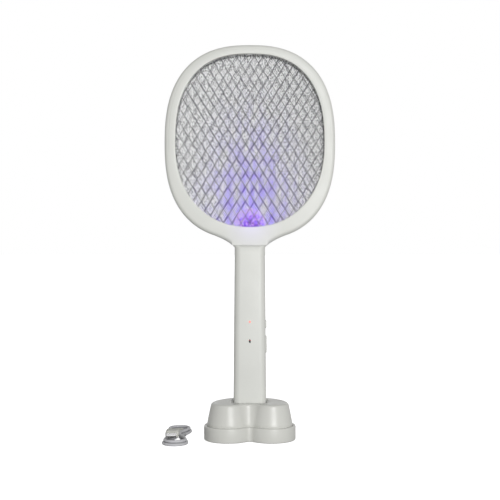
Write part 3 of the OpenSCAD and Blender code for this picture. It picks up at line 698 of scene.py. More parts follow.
def make_large_plug():
    """The large plug: ribbed grip and relief, a bright sleeve with square windows, and a tongue inside it."""
    low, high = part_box("usb_a_housing")
    x, _, z = box_middle("usb_a_housing")
    grip_end = high[1] - 5 * MM
    grip = ribbed_grip("plug_grip", low, (high[0], grip_end, high[2]), 2.5 * MM, 5, 0.45, 0.95)
    relief = strain_relief("plug_relief", (x, grip_end - 0.5 * MM, z), (x, high[1], z), 2.6 * MM, 2.2 * MM, 2)
    grip = joined("large_plug_grip", [grip, relief], 50)
    finish_piece(grip, "stand", "plug_plastic", plug_plastic, "usb_a_housing")
    low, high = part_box("usb_a_shell")
    windows = [(x, low[1] + 7.2 * MM, 1 * MM) for x in (-2.9 * MM, 2.9 * MM)]
    sleeve = shell_with_window("large_plug_sleeve", low, high, 0.4 * MM, 0.5 * MM, windows)
    finish_piece(sleeve, "stand", "bright_metal", bright_metal, "usb_a_shell")
    low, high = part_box("usb_a_tongue")
    tongue = rounded_block("plug_tongue", low, high, 0.4 * MM, 0.3 * MM, axis=1)
    finish_piece(tongue, "stand", "plug_tongue", tongue_plastic, "usb_a_tongue")
    return [grip, sleeve, tongue]


def make_small_plug():
    """The small plug: a grip with a step, a relief and a thin sleeve."""
    low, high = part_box("micro_usb_housing")
    x, _, z = box_middle("micro_usb_housing")
    grip_start = low[1] + 6 * MM
    grip = ribbed_grip("small_grip", (low[0], grip_start, low[2]), high, 2 * MM, 4, 0.08, 0.5)
    relief = strain_relief("small_relief", (x, grip_start + 0.5 * MM, z), (x, low[1], z),
                           2.4 * MM, 2.1 * MM, 2)
    grip = joined("small_plug_grip", [grip, relief], 50)
    finish_piece(grip, "stand", "plug_plastic", plug_plastic, "micro_usb_housing")
    low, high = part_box("micro_usb_shell")
    windows = [(x, low[1] + 3 * MM, 0.45 * MM) for x in (-1.8 * MM, 1.8 * MM)]
    sleeve = shell_with_window("small_plug_sleeve", low, high, 0.3 * MM, 0.45 * MM, windows)
    finish_piece(sleeve, "stand", "bright_metal", bright_metal, "micro_usb_shell")
    return [grip, sleeve]


cable_fittings = [make_cable_tie()] + make_large_plug() + make_small_plug()


# ---------------------------------------------------------------- racket head
def signed_power(v, p):
    """A power that keeps the sign of its base."""
    return np.sign(v) * np.abs(v) ** p


def oval_size(inset, up):
    """The power and the half height of the ring's oval inside its edge, above and below its middle."""
    t = inset / RING_SIDE
    power = np.where(up, HEAD_POWER, HEAD_POWER + (OPENING_POWER_DOWN - HEAD_POWER) * t)
    return power, np.where(up, HEAD_UP - RING_TOP * t, HEAD_DOWN - RING_BOTTOM * t)


def ring_loop(inset, a):
    """The ring's outline inside its edge: a rounded oval, rounder below, as x and z for each angle."""
    power, half_h = oval_size(inset, np.sin(a) > 0)
    return np.stack([(HEAD_HALF_W - inset) * signed_power(np.cos(a), 2 / power),
                     HEAD_Z + half_h * signed_power(np.sin(a), 2 / power)], -1)


def bezier(points, t):
    """A cubic curve through the first and last of four points."""
    p = np.asarray(points, float)
    t = np.asarray(t)[:, None]
    return (1 - t) ** 3 * p[0] + 3 * t * (1 - t) ** 2 * p[1] + 3 * t * t * (1 - t) * p[2] + t ** 3 * p[3]


FLANK = [(46 * MM, HEAD_Z - HEAD_DOWN + 6.4 * MM), (35 * MM, HEAD_Z - HEAD_DOWN + 2.4 * MM),
         (27 * MM, SEAM_Z + 5.2 * MM), (SHOULDER_HALF_W, SEAM_Z)]
FLANK_ANGLE = math.acos((FLANK[0][0] / HEAD_HALF_W) ** (HEAD_POWER / 2))
SEAM_SOFTEN = 0.5 * MM


EDGE_R = 4.6 * MM
LIP_Y = HALF_T - 3 * MM
RING_WALL = 2.4 * MM


def ring_stations():
    """The ring's outer points, its inner points and how far its outer edge is rounded, station by station.

    From the seam's middle round the right, the top and the left, back to the seam's middle."""
    seam = np.linspace(0, 1, 14)[:-1]
    flank = np.linspace(1, 0, 40)[:-1]
    seam_points = np.stack([SHOULDER_HALF_W * seam, np.full_like(seam, SEAM_Z)], -1)
    flank_points = bezier(FLANK, flank)
    start = -FLANK_ANGLE
    oval = np.linspace(start, math.pi / 2, 240)
    oval_points = ring_loop(0.0, oval)
    neck_turn = np.linspace(-math.pi / 2, start, len(seam) + len(flank) + 1)[:-1]
    angle = np.concatenate([neck_turn, oval])
    outer = np.concatenate([seam_points, flank_points, oval_points])
    inner = ring_loop(RING_SIDE, angle)
    radius = np.concatenate([np.full(len(seam), SEAM_SOFTEN),
                             SEAM_SOFTEN + (EDGE_R - SEAM_SOFTEN) * smoothstep((1 - flank) / 0.16),
                             np.full(len(oval), EDGE_R)])
    channel = np.concatenate([(seam_points[:, 0] < 12 * MM).astype(float), np.zeros(len(flank) + len(oval))])

    def both_sides(values, flip):
        """The right side's values followed by the left side's, without repeating the top or the middle."""
        other = values[1:-1][::-1].copy()
        if flip:
            other[:, 0] *= -1
        return np.concatenate([values, other])

    return (both_sides(outer, True), both_sides(inner, True), both_sides(radius[:, None], False)[:, 0],
            both_sides(channel[:, None], False)[:, 0])


def ring_half(name, side):
    """One half of the ring: a profile carried round the stations.

    The profile rises from the parting line up the outer wall, turns over the rounded edge, steps up on to a
    face crowned by a tenth of a millimetre, turns over the inner edge and comes back under the lip."""
    outer, inner, radius, channel = ring_stations()
    reach = inner - outer
    width = np.linalg.norm(reach, axis=1)
    face = HALF_T
    step_d, step_h = 0.5 * MM, 0.22 * MM
    low_face = face - 0.12 * MM
    turn = np.linspace(0, math.pi / 2, 9)
    rows = [(np.full_like(width, 0.4 * MM), np.full_like(width, PART_GAP)),
            (np.zeros_like(width), np.full_like(width, 0.55 * MM))]
    for a in turn:
        rows.append((radius * (1 - math.cos(a)), face - step_h - radius * (1 - math.sin(a))))
    rows.append((radius + 0.35 * MM, np.full_like(width, face - step_h)))
    rows.append((radius + step_d, np.full_like(width, low_face)))
    for share in (0.15, 0.5, 0.85):
        crown = 0.12 * MM * (1 - (2 * share - 1) ** 2)
        start_d = radius + step_d + 0.3 * MM
        rows.append((start_d + (width - 1.3 * MM - start_d) * share, np.full_like(width, low_face + crown)))
    for a in np.linspace(0, math.pi / 2, 5):
        rows.append((width - 0.9 * MM * (1 - math.sin(a)), face - 0.15 * MM - 0.9 * MM * (1 - math.cos(a))))
    foot = np.where(channel > 0.5, LIP_Y - 0.05 * MM, PART_GAP)
    rows.append((width, np.full_like(width, LIP_Y)))
    rows.append((np.full_like(width, RING_WALL), np.full_like(width, LIP_Y)))
    rows.append((np.full_like(width, RING_WALL), foot))
    loops = []
    for d, depth in rows:
        point = outer + reach * (d / width)[:, None]
        loops.append(np.stack([point[:, 0], side * np.broadcast_to(depth, width.shape), point[:, 1]], -1))
    loops[0][:, 1] = side * np.where(channel > 0.5, LIP_Y - 0.3 * MM, PART_GAP)
    loops[1][:, 1] = side * np.where(channel > 0.5, LIP_Y - 0.1 * MM, 0.55 * MM)
    return loft(name, np.array(loops), ring=True, smooth_angle=32)


FRAME_ANGLES = np.radians([0, 38, 72, 108, 142, 180, 214, 250, 290, 326])


def frame_screw_places():
    """Where the ring's screws stand, as x and z."""
    half_h = oval_size(RING_SCREW_INSET, np.sin(FRAME_ANGLES) > 0)[1]
    return np.stack([(HEAD_HALF_W - RING_SCREW_INSET) * signed_power(np.cos(FRAME_ANGLES), 2 / HEAD_POWER),
                     HEAD_Z + half_h * signed_power(np.sin(FRAME_ANGLES), 2 / HEAD_POWER)], -1)


def peg(name, x, z, from_y, to_y, r, count=24):
    """A plain round post from front to back, with a small chamfer at both ends."""
    path = np.array([[x, from_y, z], [x, from_y + 0.1 * r, z], [x, to_y - 0.1 * r, z], [x, to_y, z]])
    return tube(name, path, r, count, [0.9, 1, 1, 0.9])


def make_ring():
    """Both halves of the ring, their screw posts inside, and the screw holes in the rear half."""
    front = ring_half("front_ring_shell", -1)
    rear = ring_half("rear_ring_shell", 1)

    def pegs(name, from_y, to_y, r):
        """A post or a hole at every screw."""
        return [peg(name, x, z, from_y, to_y, r) for x, z in frame_screw_places()]

    rear = cut(rear, pegs("hole", HALF_T - SCREW_SINK, HALF_T + 2 * MM, 2.45 * MM), 32)
    front = joined("front_ring", [front] + pegs("post", -LIP_Y - 0.1 * MM, -PART_GAP, 2.5 * MM), 32)
    rear = joined("rear_ring", [rear] + pegs("post", PART_GAP, LIP_Y + 0.1 * MM, 2.5 * MM), 32)
    finish_piece(front, "racket", "light_plastic", head_plastic, "front_frame")
    finish_piece(rear, "racket", "light_plastic", head_plastic, "rear_frame")


SCREW_HEAD_R = 2.2 * MM
RING_SCREW_INSET = 5.2 * MM
SCREW_SINK = 1.6 * MM


def pan_screws(name, places, depth, axis, out):
    """Pan head screws with a cross recess: a turned profile, and a cross cut into each head."""
    heads = []
    r = SCREW_HEAD_R
    profile = [(0, -depth), (0.45 * r, -depth), (0.45 * r, 0), (0.9 * r, 0), (r, 0.12 * r), (r, 0.35 * r),
               (0.85 * r, 0.6 * r), (0.5 * r, 0.72 * r), (0, 0.75 * r)]
    for place in places:
        head = turned("head", place, axis, out, profile)
        arms = [cross_arm(place, axis, out, r, turn) for turn in (0, 1)]
        heads.append(cut(head, arms, 30))
    return joined(name, heads, 30)


def turned(name, place, axis, out, profile, count=28):
    """A turned piece: a profile of radius and height spun about an axis through a place."""
    place = np.asarray(place, float)
    direction = np.zeros(3)
    direction[axis] = out
    u = np.zeros(3)
    u[(axis + 1) % 3] = 1
    v = np.cross(direction, u)
    a = np.linspace(0, TAU, count, endpoint=False)
    loops = []
    for radius, height in profile:
        radius = max(radius, 0.01 * MM)
        loops.append(place + direction * height + radius * (np.cos(a)[:, None] * u + np.sin(a)[:, None] * v))
    return loft(name, np.array(loops), smooth_angle=35)


def cross_arm(place, axis, out, r, turn):
    """One arm of a screw's cross recess, as a small block."""
    low, high = np.asarray(place, float).copy(), np.asarray(place, float).copy()
    long_axis, short_axis = ((axis + 1) % 3, (axis + 2) % 3) if turn else ((axis + 2) % 3, (axis + 1) % 3)
    low[long_axis] -= 0.55 * r
    high[long_axis] += 0.55 * r
    low[short_axis] -= 0.13 * r
    high[short_axis] += 0.13 * r
    ends = sorted([low[axis] + out * 0.25 * r, low[axis] + out * 1.2 * r])
    low[axis], high[axis] = ends
    return rounded_block("arm", low, high, 0.04 * r, 0.02 * r, axis=axis, steps=3, rise=2)


def make_ring_screws():
    """The ring's ten screws in their recesses at the back."""
    places = [(x, HALF_T - SCREW_SINK, z) for x, z in frame_screw_places()]
    screws = pan_screws("ring_screws", places, 15 * MM, 1, 1)
    finish_piece(screws, "racket", "screw_steel", screw_metal, "frame_screws")


# ---------------------------------------------------------------- grids
def inside_opening(x, z, inset):
    """True where a point is inside the oval at that inset."""
    power, half_h = oval_size(inset, z > HEAD_Z)
    return (np.abs(x) / (HEAD_HALF_W - inset)) ** power + (np.abs(z - HEAD_Z) / half_h) ** power < 1


def strands(cell_w, cell_h, shift, inset):
    """The ends of every strand of a diamond lattice inside the oval.

    Two families of parallel lines, z = +-(h/w) x + (k + shift) h, each cut where it leaves the oval."""
    slope = cell_h / cell_w
    count = int(math.ceil((slope * HEAD_HALF_W + HEAD_UP) / cell_h)) + 1
    k = np.arange(-count, count + 1)
    x = np.linspace(-HEAD_HALF_W, HEAD_HALF_W, 3001)
    ends = []
    for side in (-1, 1):
        z = HEAD_Z + side * slope * x[None, :] + (k[:, None] + shift) * cell_h
        inside = inside_opening(x[None, :], z, inset)
        hit = inside.sum(1) > 8
        first = inside.argmax(1)
        last = inside.shape[1] - 1 - inside[:, ::-1].argmax(1)
        rows = np.nonzero(hit)[0]
        ends.append(np.stack([np.stack([x[first[rows]], z[rows, first[rows]]], -1),
                              np.stack([x[last[rows]], z[rows, last[rows]]], -1)], 1))
    return ends


def lattice(name, y, cell_w, cell_h, shift, width, thick, inset, sides=6, weave=0.0, phase=0.0):
    """A lattice of straight strands with a many-sided section, made as one array of points and faces.

    Each strand has four stations: its two ends, and the two places where it comes out from under the lip."""
    families = strands(cell_w, cell_h, shift, inset)
    turn = np.linspace(0, TAU, sides, endpoint=False) + phase
    verts, faces, start = [], [], 0
    for n, ends in enumerate(families):
        span = ends[:, 1] - ends[:, 0]
        length = np.linalg.norm(span, axis=1)[:, None]
        along = span / length
        across = np.stack([-along[:, 1], along[:, 0]], -1)
        tucked = np.minimum(UNDER_LIP, 0.3 * length)
        line = np.stack([ends[:, 0], ends[:, 0] + tucked * along, ends[:, 1] - tucked * along, ends[:, 1]], 1)
        depth = y + (n - 0.5) * weave
        flat = line[:, :, None, :] + np.cos(turn)[None, None, :, None] * across[:, None, None, :] * width / 2
        points = np.zeros(flat.shape[:3] + (3,))
        points[..., 0] = flat[..., 0]
        points[..., 2] = flat[..., 1]
        points[..., 1] = depth + np.sin(turn)[None, None, :] * thick / 2
        verts.append(points.reshape(-1, 3))
        base = start + np.arange(len(ends))[:, None, None] * 4 * sides
        low = base + np.arange(3)[None, :, None] * sides
        i = np.arange(sides)[None, None, :]
        j = (i + 1) % sides
        faces += np.stack([low + i, low + j, low + sides + j, low + sides + i], -1).reshape(-1, 4).tolist()
        caps = base[:, :, 0] + np.arange(sides)[None, :]
        faces += caps[:, ::-1].tolist() + (caps + 3 * sides).tolist()
        start += len(ends) * 4 * sides
    obj = outward(new_object(name, np.concatenate(verts), faces, 25))
    count = start // (4 * sides)
    shades = np.repeat(np.random.default_rng(7).uniform(0, 1, count), 4 * sides)
    # The two end stations of each strand carry the mask of the lip's painted shadow, and the two inner ones
    # carry none.
    lip_shade_mask = np.tile(np.repeat([1.0, 0.0, 0.0, 1.0], sides), count)
    for label, values in zip(STRAND_ATTRIBUTES, (shades, lip_shade_mask)):
        obj.data.attributes.new(label, "FLOAT", "POINT").data.foreach_set("value", values.astype(np.float32))
    return obj


def flat_rim(name, y, thick):
    """The flat rim round a grid, between two ovals."""
    a = np.linspace(0, TAU, 240, endpoint=False)
    outer, inner = ring_loop(8.6 * MM, a), ring_loop(12.5 * MM, a)
    loops = []
    for loop, depth in [(outer, -thick / 2), (outer, thick / 2), (inner, thick / 2), (inner, -thick / 2)]:
        loops.append(np.stack([loop[:, 0], np.full(len(a), y + depth), loop[:, 1]], -1))
    return loft(name, np.array(loops), ring=True, smooth_angle=30)


UNDER_LIP = 7 * MM
CELL_W = 10.8 * MM
CELL_H = 17.7 * MM
GUARD_BAR_W = 0.7 * MM
CHARGED_STRAND_W = 0.86 * MM
GRID_INSET = 11.5 * MM


def make_grids():
    """The two guard grids and the fine charged mesh between them."""
    for name, node in [("front_guard", "front_guard_grid"), ("rear_guard", "rear_guard_grid")]:
        low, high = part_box(node)
        y, thick = (low[1] + high[1]) / 2, high[1] - low[1]
        bars = lattice("bars", y, CELL_W, CELL_H, 0.5, GUARD_BAR_W, 0.66 * thick, GRID_INSET, 8, 0.1 * MM,
                       math.pi / 8)
        guard = joined(name, [bars, flat_rim("rim", y, 0.9 * thick)], 30)
        finish_piece(guard, "racket", "guard_steel", guard_metal, node)
    mesh = lattice("charged_mesh", 0, CELL_W / 4, CELL_H / 5, 0.3, CHARGED_STRAND_W, 0.32 * MM, GRID_INSET, 4,
                   0.12 * MM)
    finish_piece(mesh, "racket", "fine_steel", fine_metal, "hv_grid")
    finish_piece(flat_rim("charged_rim", 0, 0.5 * MM), "racket", "fine_steel", bright_metal)


make_ring()
make_ring_screws()
make_grids()


# ---------------------------------------------------------------- violet lamp
def fan_plate(name, low_y, high_y, edge):
    """An upright plate: a straight foot, then a wider round fan.

    Its outline shrinks towards both faces in a quarter round, for a rounded edge."""
    step = np.linspace(0, math.pi / 2, 5)
    insets = np.concatenate([edge * (1 - np.sin(step)), edge * (1 - np.cos(step))])
    depths = np.concatenate([low_y + edge * (1 - np.cos(step)), high_y - edge * (1 - np.sin(step))])
    centre_z = LENS_HIGH[2] - LENS_DOME_R
    loops = []
    for inset, y in zip(insets, depths):
        r, foot = LENS_DOME_R - inset, LENS_FOOT_HALF_W - inset
        low_z = LENS_FAN_Z + inset
        start = math.asin((low_z - centre_z) / r)
        turn = np.linspace(start, math.pi - start, 49)
        x = np.concatenate([[foot, foot], r * np.cos(turn), [-foot, -foot]])
        foot_z = LENS_LOW[2] + inset
        z = np.concatenate([[foot_z, low_z], centre_z + r * np.sin(turn), [low_z, foot_z]])
        loops.append(np.stack([x, np.full_like(x, y), z], -1))
    return loft(name, np.array(loops), smooth_angle=40)


def make_lamp():
    """The lamp: a domed lens full of small prisms, lit from three small lamps on a board below it."""
    lens = fan_plate("lamp_lens", LENS_LOW[1], LENS_HIGH[1], 0.8 * MM)
    finish_piece(lens, "racket", "violet_lens", violet_lens, "uv_lens")
    low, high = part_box("uv_leds")
    lamps = [rounded_block("lamp", (x - 1.75 * MM, low[1], low[2]), (x + 1.75 * MM, high[1], high[2]),
                           0.6 * MM, 0.35 * MM) for x in (-7 * MM, 0, 7 * MM)]
    lamps = joined("small_lamps", lamps)
    finish_piece(lamps, "racket", "violet_lamp", violet_lamp, "uv_leds")


# ---------------------------------------------------------------- handle
HANDLE_Z = HANDLE_LOW[2]
HANDLE_CORNER = 7.5 * MM
HANDLE_WALL = 2.2 * MM
HANDLE_BOTTOM = (40.5 * MM, 30 * MM)
HANDLE_TOP = (37 * MM, 28 * MM)
NECK_Z = SEAM_Z - SHOULDER_H
BUTTON_GAP = 0.3 * MM
BUTTON_LIP = 1.5 * MM


def handle_size(z):
    """The handle's width and depth at a height: an even taper, then a quick flare to the seam."""
    t = np.clip((z - HANDLE_Z) / (NECK_Z - HANDLE_Z), 0, 1)
    w = HANDLE_BOTTOM[0] + (HANDLE_TOP[0] - HANDLE_BOTTOM[0]) * t
    d = HANDLE_BOTTOM[1] + (HANDLE_TOP[1] - HANDLE_BOTTOM[1]) * t
    f = np.clip((z - NECK_Z) / SHOULDER_H, 0, 1) ** 1.25
    return w + (2 * SHOULDER_HALF_W - w) * f, d + (SHOULDER_D_AT_SEAM - d) * f


def half_section(w, d, corner, side, part, groove):
    """One half of a rounded rectangle, from right to left, with a small chamfer at the parting line."""
    turn = np.linspace(0, math.pi / 2, 14)
    right = np.stack([w / 2 - corner + corner * np.cos(turn), d / 2 - corner + corner * np.sin(turn)], -1)
    left = right[::-1] * [-1, 1]
    ends = np.array([[w / 2 - groove, part], [w / 2, part + groove]])
    points = np.concatenate([ends, right, left, ends[::-1] * [-1, 1]])
    points[:, 1] *= side
    return points


def handle_solid(name, side, inset, part, groove, levels):
    """The half handle as a solid: half sections on levels, each with its own extra inset."""
    loops = []
    for z, extra in levels:
        w, d = handle_size(z)
        shrink = inset + extra
        corner = max(HANDLE_CORNER - shrink, 1 * MM)
        section = half_section(w - 2 * shrink, d - 2 * shrink, corner, side, part, groove)
        loops.append(np.column_stack([section, np.full(len(section), z)]))
    return loft(name, np.array(loops), smooth_angle=30)


def button_cutter(name):
    """The slot through the side wall for a button: the button's own outline with an even gap."""
    low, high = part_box(name)
    mid = (low + high) / 2
    wall_x = handle_size(mid[2])[0] / 2
    half_y = {"trigger_button": 3.5 * MM, "mode_slider_knob": 2.5 * MM}[name] + BUTTON_GAP
    end = BUTTON_LIP - BUTTON_GAP
    travel = SLIDER_TRAVEL if name == "mode_slider_knob" else 0
    return rounded_block("slot", (wall_x - 4.4 * MM, -half_y, low[2] + end),
                         (wall_x + 3 * MM, half_y, high[2] - end + travel), 1.2 * MM, 0.05 * MM, axis=0)


def opening(node, side_gap, end_gap, from_y, to_y, corner):
    """A hole from front to back for a CAD node, with a gap round it."""
    low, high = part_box(node)
    return rounded_block("hole", (low[0] - side_gap, from_y, low[2] - end_gap),
                         (high[0] + side_gap, to_y, high[2] + end_gap), corner, 0.02 * MM, axis=1)


def make_handle():
    """Both handle shells: hollow half solids with slots, holes, the charging port and the screw recesses."""
    quarter = np.linspace(0, math.pi / 2, 6)
    foot_r = 2 * MM
    foot = [(HANDLE_Z + foot_r * (1 - math.sin(a)), foot_r * (1 - math.cos(a))) for a in quarter[::-1]]
    shaft = [(z, 0) for z in np.linspace(HANDLE_Z + foot_r + 1 * MM, NECK_Z, 24)]
    flare = [(z, 0) for z in np.linspace(NECK_Z, SEAM_Z, 7)[1:-1]]
    flare += [(SEAM_Z - 0.35 * MM, 0), (SEAM_Z, 0.35 * MM)]
    shells = []
    for side in (-1, 1):
        shell = handle_solid("shell", side, 0, PART_GAP, 0.4 * MM, foot + shaft + flare)
        hollow_levels = [(HANDLE_Z + 2.5 * MM, 0), (NECK_Z, 0), (SEAM_Z + 1 * MM, 0)]
        hollow = handle_solid("hollow", side, HANDLE_WALL, -2 * MM, 0.1 * MM, hollow_levels)
        cutters = [hollow, button_cutter("trigger_button"), button_cutter("mode_slider_knob")]
        if side < 0:
            mid = box_middle("indicator_light_pipe")
            cutters.append(peg("hole", 0, mid[2], -20 * MM, -5 * MM, 1.12 * MM))
            cutters.append(opening("charge_window", 0.12 * MM, 0.12 * MM, -20 * MM, -5 * MM, 1.1 * MM))
        else:
            cutters.append(opening("charging_socket", 0.4 * MM, 0.35 * MM, 8 * MM, 20 * MM, 1 * MM))
            for z in SHELL_SCREW_ZS:
                cutters.append(peg("recess", 0, z, screw_seat(z), 20 * MM, 2.6 * MM, 32))
        shell = cut(shell, cutters, 30)
        posts = [peg("post", 0, z, 1 * MM - handle_size(z)[1] / 2, -0.15 * MM, 3 * MM) if side < 0 else
                 peg("post", 0, z, 0.15 * MM, screw_seat(z), 3 * MM) for z in SHELL_SCREW_ZS]
        shells.append(joined(["handle_front", "handle_rear"][side > 0], [shell] + posts, 30))
    finish_piece(shells[0], "racket", "light_plastic", handle_plastic, "handle_front_shell")
    finish_piece(shells[1], "racket", "light_plastic", handle_plastic, "handle_rear_shell")


SHELL_SCREW_ZS = (HANDLE_Z + 5.5 * MM, HANDLE_Z + 83.3 * MM, NECK_Z - 11 * MM)


def screw_seat(z):
    """How deep a shell screw's head sits in its recess at the back."""
    return handle_size(z)[1] / 2 - 2.0 * MM


def make_shell_screws():
    """The three screws that hold the handle shells together, from the back."""
    places = [(0, screw_seat(z), z) for z in SHELL_SCREW_ZS]
    screws = pan_screws("handle_screws", places, 18 * MM, 1, 1)
    finish_piece(screws, "racket", "screw_steel", screw_metal, "shell_screws")


# ---------------------------------------------------------------- controls
def gripped_button(name, node, ribs):
    """A button through the side wall: a flange inside, a rounded cap outside, and grip ribs across its face.

    The face is a grid over y and z: its height is the cap's crown less a cosine wave along z."""
    low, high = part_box(node)
    flange = rounded_block("flange", low, (low[0] + 1.4 * MM, high[1], high[2]), 0.5 * MM, 0.15 * MM, axis=0)
    z0, z1 = low[2] + BUTTON_LIP, high[2] - BUTTON_LIP
    half_y = (high[1] - low[1]) / 2 - BUTTON_LIP
    mid_z, half_z = (z0 + z1) / 2, (z1 - z0) / 2
    corner = min(2.2 * MM, half_y * 0.75)
    cap_x = high[0] - 0.9 * MM
    rings = [(low[0] + 0.2 * MM, 0, corner), (cap_x, 0, corner)]
    for share in np.linspace(0, 1, 6)[1:]:
        a = share * math.pi / 2
        rings.append((cap_x + 0.65 * MM * math.sin(a), 0.8 * MM * (1 - math.cos(a)),
                      corner * (1 - 0.25 * share)))
    loops = []
    for x, shrink, r in rings:
        section = rounded_section(half_y - shrink, half_z - shrink, r, 10)
        loops.append(np.column_stack([np.full(len(section), x), section[:, 0], mid_z + section[:, 1]]))
    body = loft("cap", np.array(loops), smooth_angle=40)
    bars = []
    span = 0.66 * half_z
    for k in range(ribs):
        z = mid_z + span * (2 * k / (ribs - 1) - 1)
        bars.append(rounded_block("rib", (high[0] - 0.6 * MM, -half_y + 1.1 * MM, z - 0.32 * MM),
                                  (high[0], half_y - 1.1 * MM, z + 0.32 * MM), 0.25 * MM, 0.2 * MM,
                                  axis=0, steps=4, rise=3))
    return joined(name, [flange, body] + bars, 40)


def make_controls():
    """The trigger and the mode slider, the red pilot light and the dark window."""
    trigger = gripped_button("trigger_cap", "trigger_button", 5)
    finish_piece(trigger, "trigger", "light_plastic", button_plastic, "trigger_button")
    slider = gripped_button("slider_cap", "mode_slider_knob", 4)
    finish_piece(slider, "mode_slider", "light_plastic", button_plastic, "mode_slider_knob")
    low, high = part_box("indicator_light_pipe")
    r = (high[0] - low[0]) / 2
    pipe = turned("pilot_light", (0, low[1] + 0.5 * MM, (low[2] + high[2]) / 2), 1, -1,
                  [(r, -(high[1] - low[1] - 0.5 * MM)), (r, 0), (0.92 * r, 0.25 * MM), (0.6 * r, 0.45 * MM),
                   (0, 0.5 * MM)])
    finish_piece(pipe, "racket", "red_lens", red_lens, "indicator_light_pipe")
    low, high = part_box("charge_window")
    window = rounded_block("charge_light_window", low, high, 0.95 * MM, 0.25 * MM, axis=1)
    finish_piece(window, "racket", "dark_window", dark_window, "charge_window")


SPRING_TURNS = 3
SPRING_WIRE_R = 0.25 * MM


def make_trigger_spring():
    """The trigger's coil spring, against its microswitch.

    Its wire follows a helix about X: y = R cos t, z = R sin t, while x goes evenly from end to end."""
    low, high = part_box("trigger_spring")
    t = np.linspace(0, TAU * SPRING_TURNS, 30 * SPRING_TURNS + 1)
    coil_r = (high[2] - low[2]) / 2 - SPRING_WIRE_R
    x = np.linspace(low[0] + SPRING_WIRE_R, high[0] - SPRING_WIRE_R, len(t))
    path = np.stack([x, coil_r * np.cos(t), (low[2] + high[2]) / 2 + coil_r * np.sin(t)], -1)
    spring = tube("trigger_coil", path, SPRING_WIRE_R, 10)
    finish_piece(spring, "racket", "bright_metal", bright_metal, "trigger_spring")
    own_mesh(spring)


# ---------------------------------------------------------------- stand
STAND_BACK_R = 47.5 * MM
LOBE_R = 21.5 * MM
VALLEY_R = 14 * MM
STAND_Y = -(STAND_BACK_R - LOBE_R) / 2
LOBE_X = STAND_BACK_R - LOBE_R
VALLEY_DROP = math.sqrt((LOBE_R + VALLEY_R) ** 2 - LOBE_X ** 2)
VALLEY_TURN = math.atan2(VALLEY_DROP, LOBE_X)
BODY_FLARE = 4.25 * MM
SKIRT_FLARE = 8.25 * MM
DECK_Z = STAND_HIGH[2]
SKIRT_Z = TRAY_HIGH[2]


def stand_outline(grow, fine=1):
    """The stand's outline moved out by grow: a half circle behind, two lobes and the hollow between them."""
    def arc(x, y, r, start, end, count):
        a = np.linspace(start, end, count * fine + 1)[1:]
        return np.stack([x + r * np.cos(a), y + r * np.sin(a)], -1)
    pi, turn = math.pi, VALLEY_TURN
    return np.concatenate([
        arc(0, STAND_Y, STAND_BACK_R + grow, 0, pi, 60),
        arc(-LOBE_X, STAND_Y, LOBE_R + grow, pi, TAU - turn, 40),
        arc(0, STAND_Y - VALLEY_DROP, VALLEY_R - grow, pi - turn, turn, 24),
        arc(LOBE_X, STAND_Y, LOBE_R + grow, pi + turn, TAU, 40)])


def lifted(points, z):
    """Flat points at a height."""
    return np.column_stack([points, np.full(len(points), z)])


def make_stand_body():
    """The stand's upper shell: outlines that rise with a slight curve, a rounded rim and a deck with a hole.

    The wall's distance outside the deck's outline falls from the flare to nothing as a power of the height.
    The hole's edge is |x/a|^n + |y/b|^n = 1, met in the direction of each point of the outline."""
    bottom = STAND_LOW[2]
    rim_r = 3.2 * MM
    levels = []
    groove_z = SKIRT_Z + 1.9 * MM
    for z in [bottom, SKIRT_Z, groove_z - 0.45 * MM]:
        levels.append((z, BODY_FLARE))
    levels += [(groove_z - 0.2 * MM, BODY_FLARE - 0.28 * MM), (groove_z + 0.2 * MM, BODY_FLARE - 0.30 * MM)]
    for t in np.linspace(0, 1, 14):
        z = groove_z + 0.45 * MM + (DECK_Z - rim_r - groove_z - 0.45 * MM) * t
        levels.append((z, (BODY_FLARE - 0.05 * MM) * (1 - t ** 1.15) + 0.05 * MM))
    for a in np.linspace(0, math.pi / 2, 9)[1:]:
        levels.append((DECK_Z - rim_r + rim_r * math.sin(a), -rim_r * (1 - math.cos(a)) * 1.1))
    loops = [lifted(stand_outline(grow), z) for z, grow in levels]
    hole = np.array([HANDLE_BOTTOM[0] / 2 + 2.3 * MM, HANDLE_BOTTOM[1] / 2 + 2.3 * MM])
    edge = stand_outline(0)
    a = np.arctan2(edge[:, 1], edge[:, 0])
    squareness = 7.0
    reach = np.abs(np.cos(a) / hole[0]) ** squareness + np.abs(np.sin(a) / hole[1]) ** squareness
    reach = reach ** (-1 / squareness)
    hole_points = np.stack([reach * np.cos(a), reach * np.sin(a)], -1)
    inner_edge = stand_outline(-rim_r * 1.1)
    for share in (0.35, 0.75, 0.97):
        between = inner_edge + (hole_points - inner_edge) * share
        loops.append(lifted(between, DECK_Z - 0.25 * MM * smoothstep(share * 2)))
    loops.append(lifted(hole_points, DECK_Z - 0.6 * MM))
    loops.append(lifted(hole_points, DECK_Z - 2.5 * MM))
    loops.append(lifted(stand_outline(-2.5 * MM), DECK_Z - 2.6 * MM))
    loops.append(lifted(stand_outline(BODY_FLARE - 2.5 * MM), SKIRT_Z))
    loops.append(lifted(stand_outline(BODY_FLARE - 2.5 * MM), bottom))
    body = loft("stand_body", np.array(loops), ring=True, smooth_angle=35)
    finish_piece(body, "stand", "stand_plastic", stand_plastic, "stand_upper_shell")


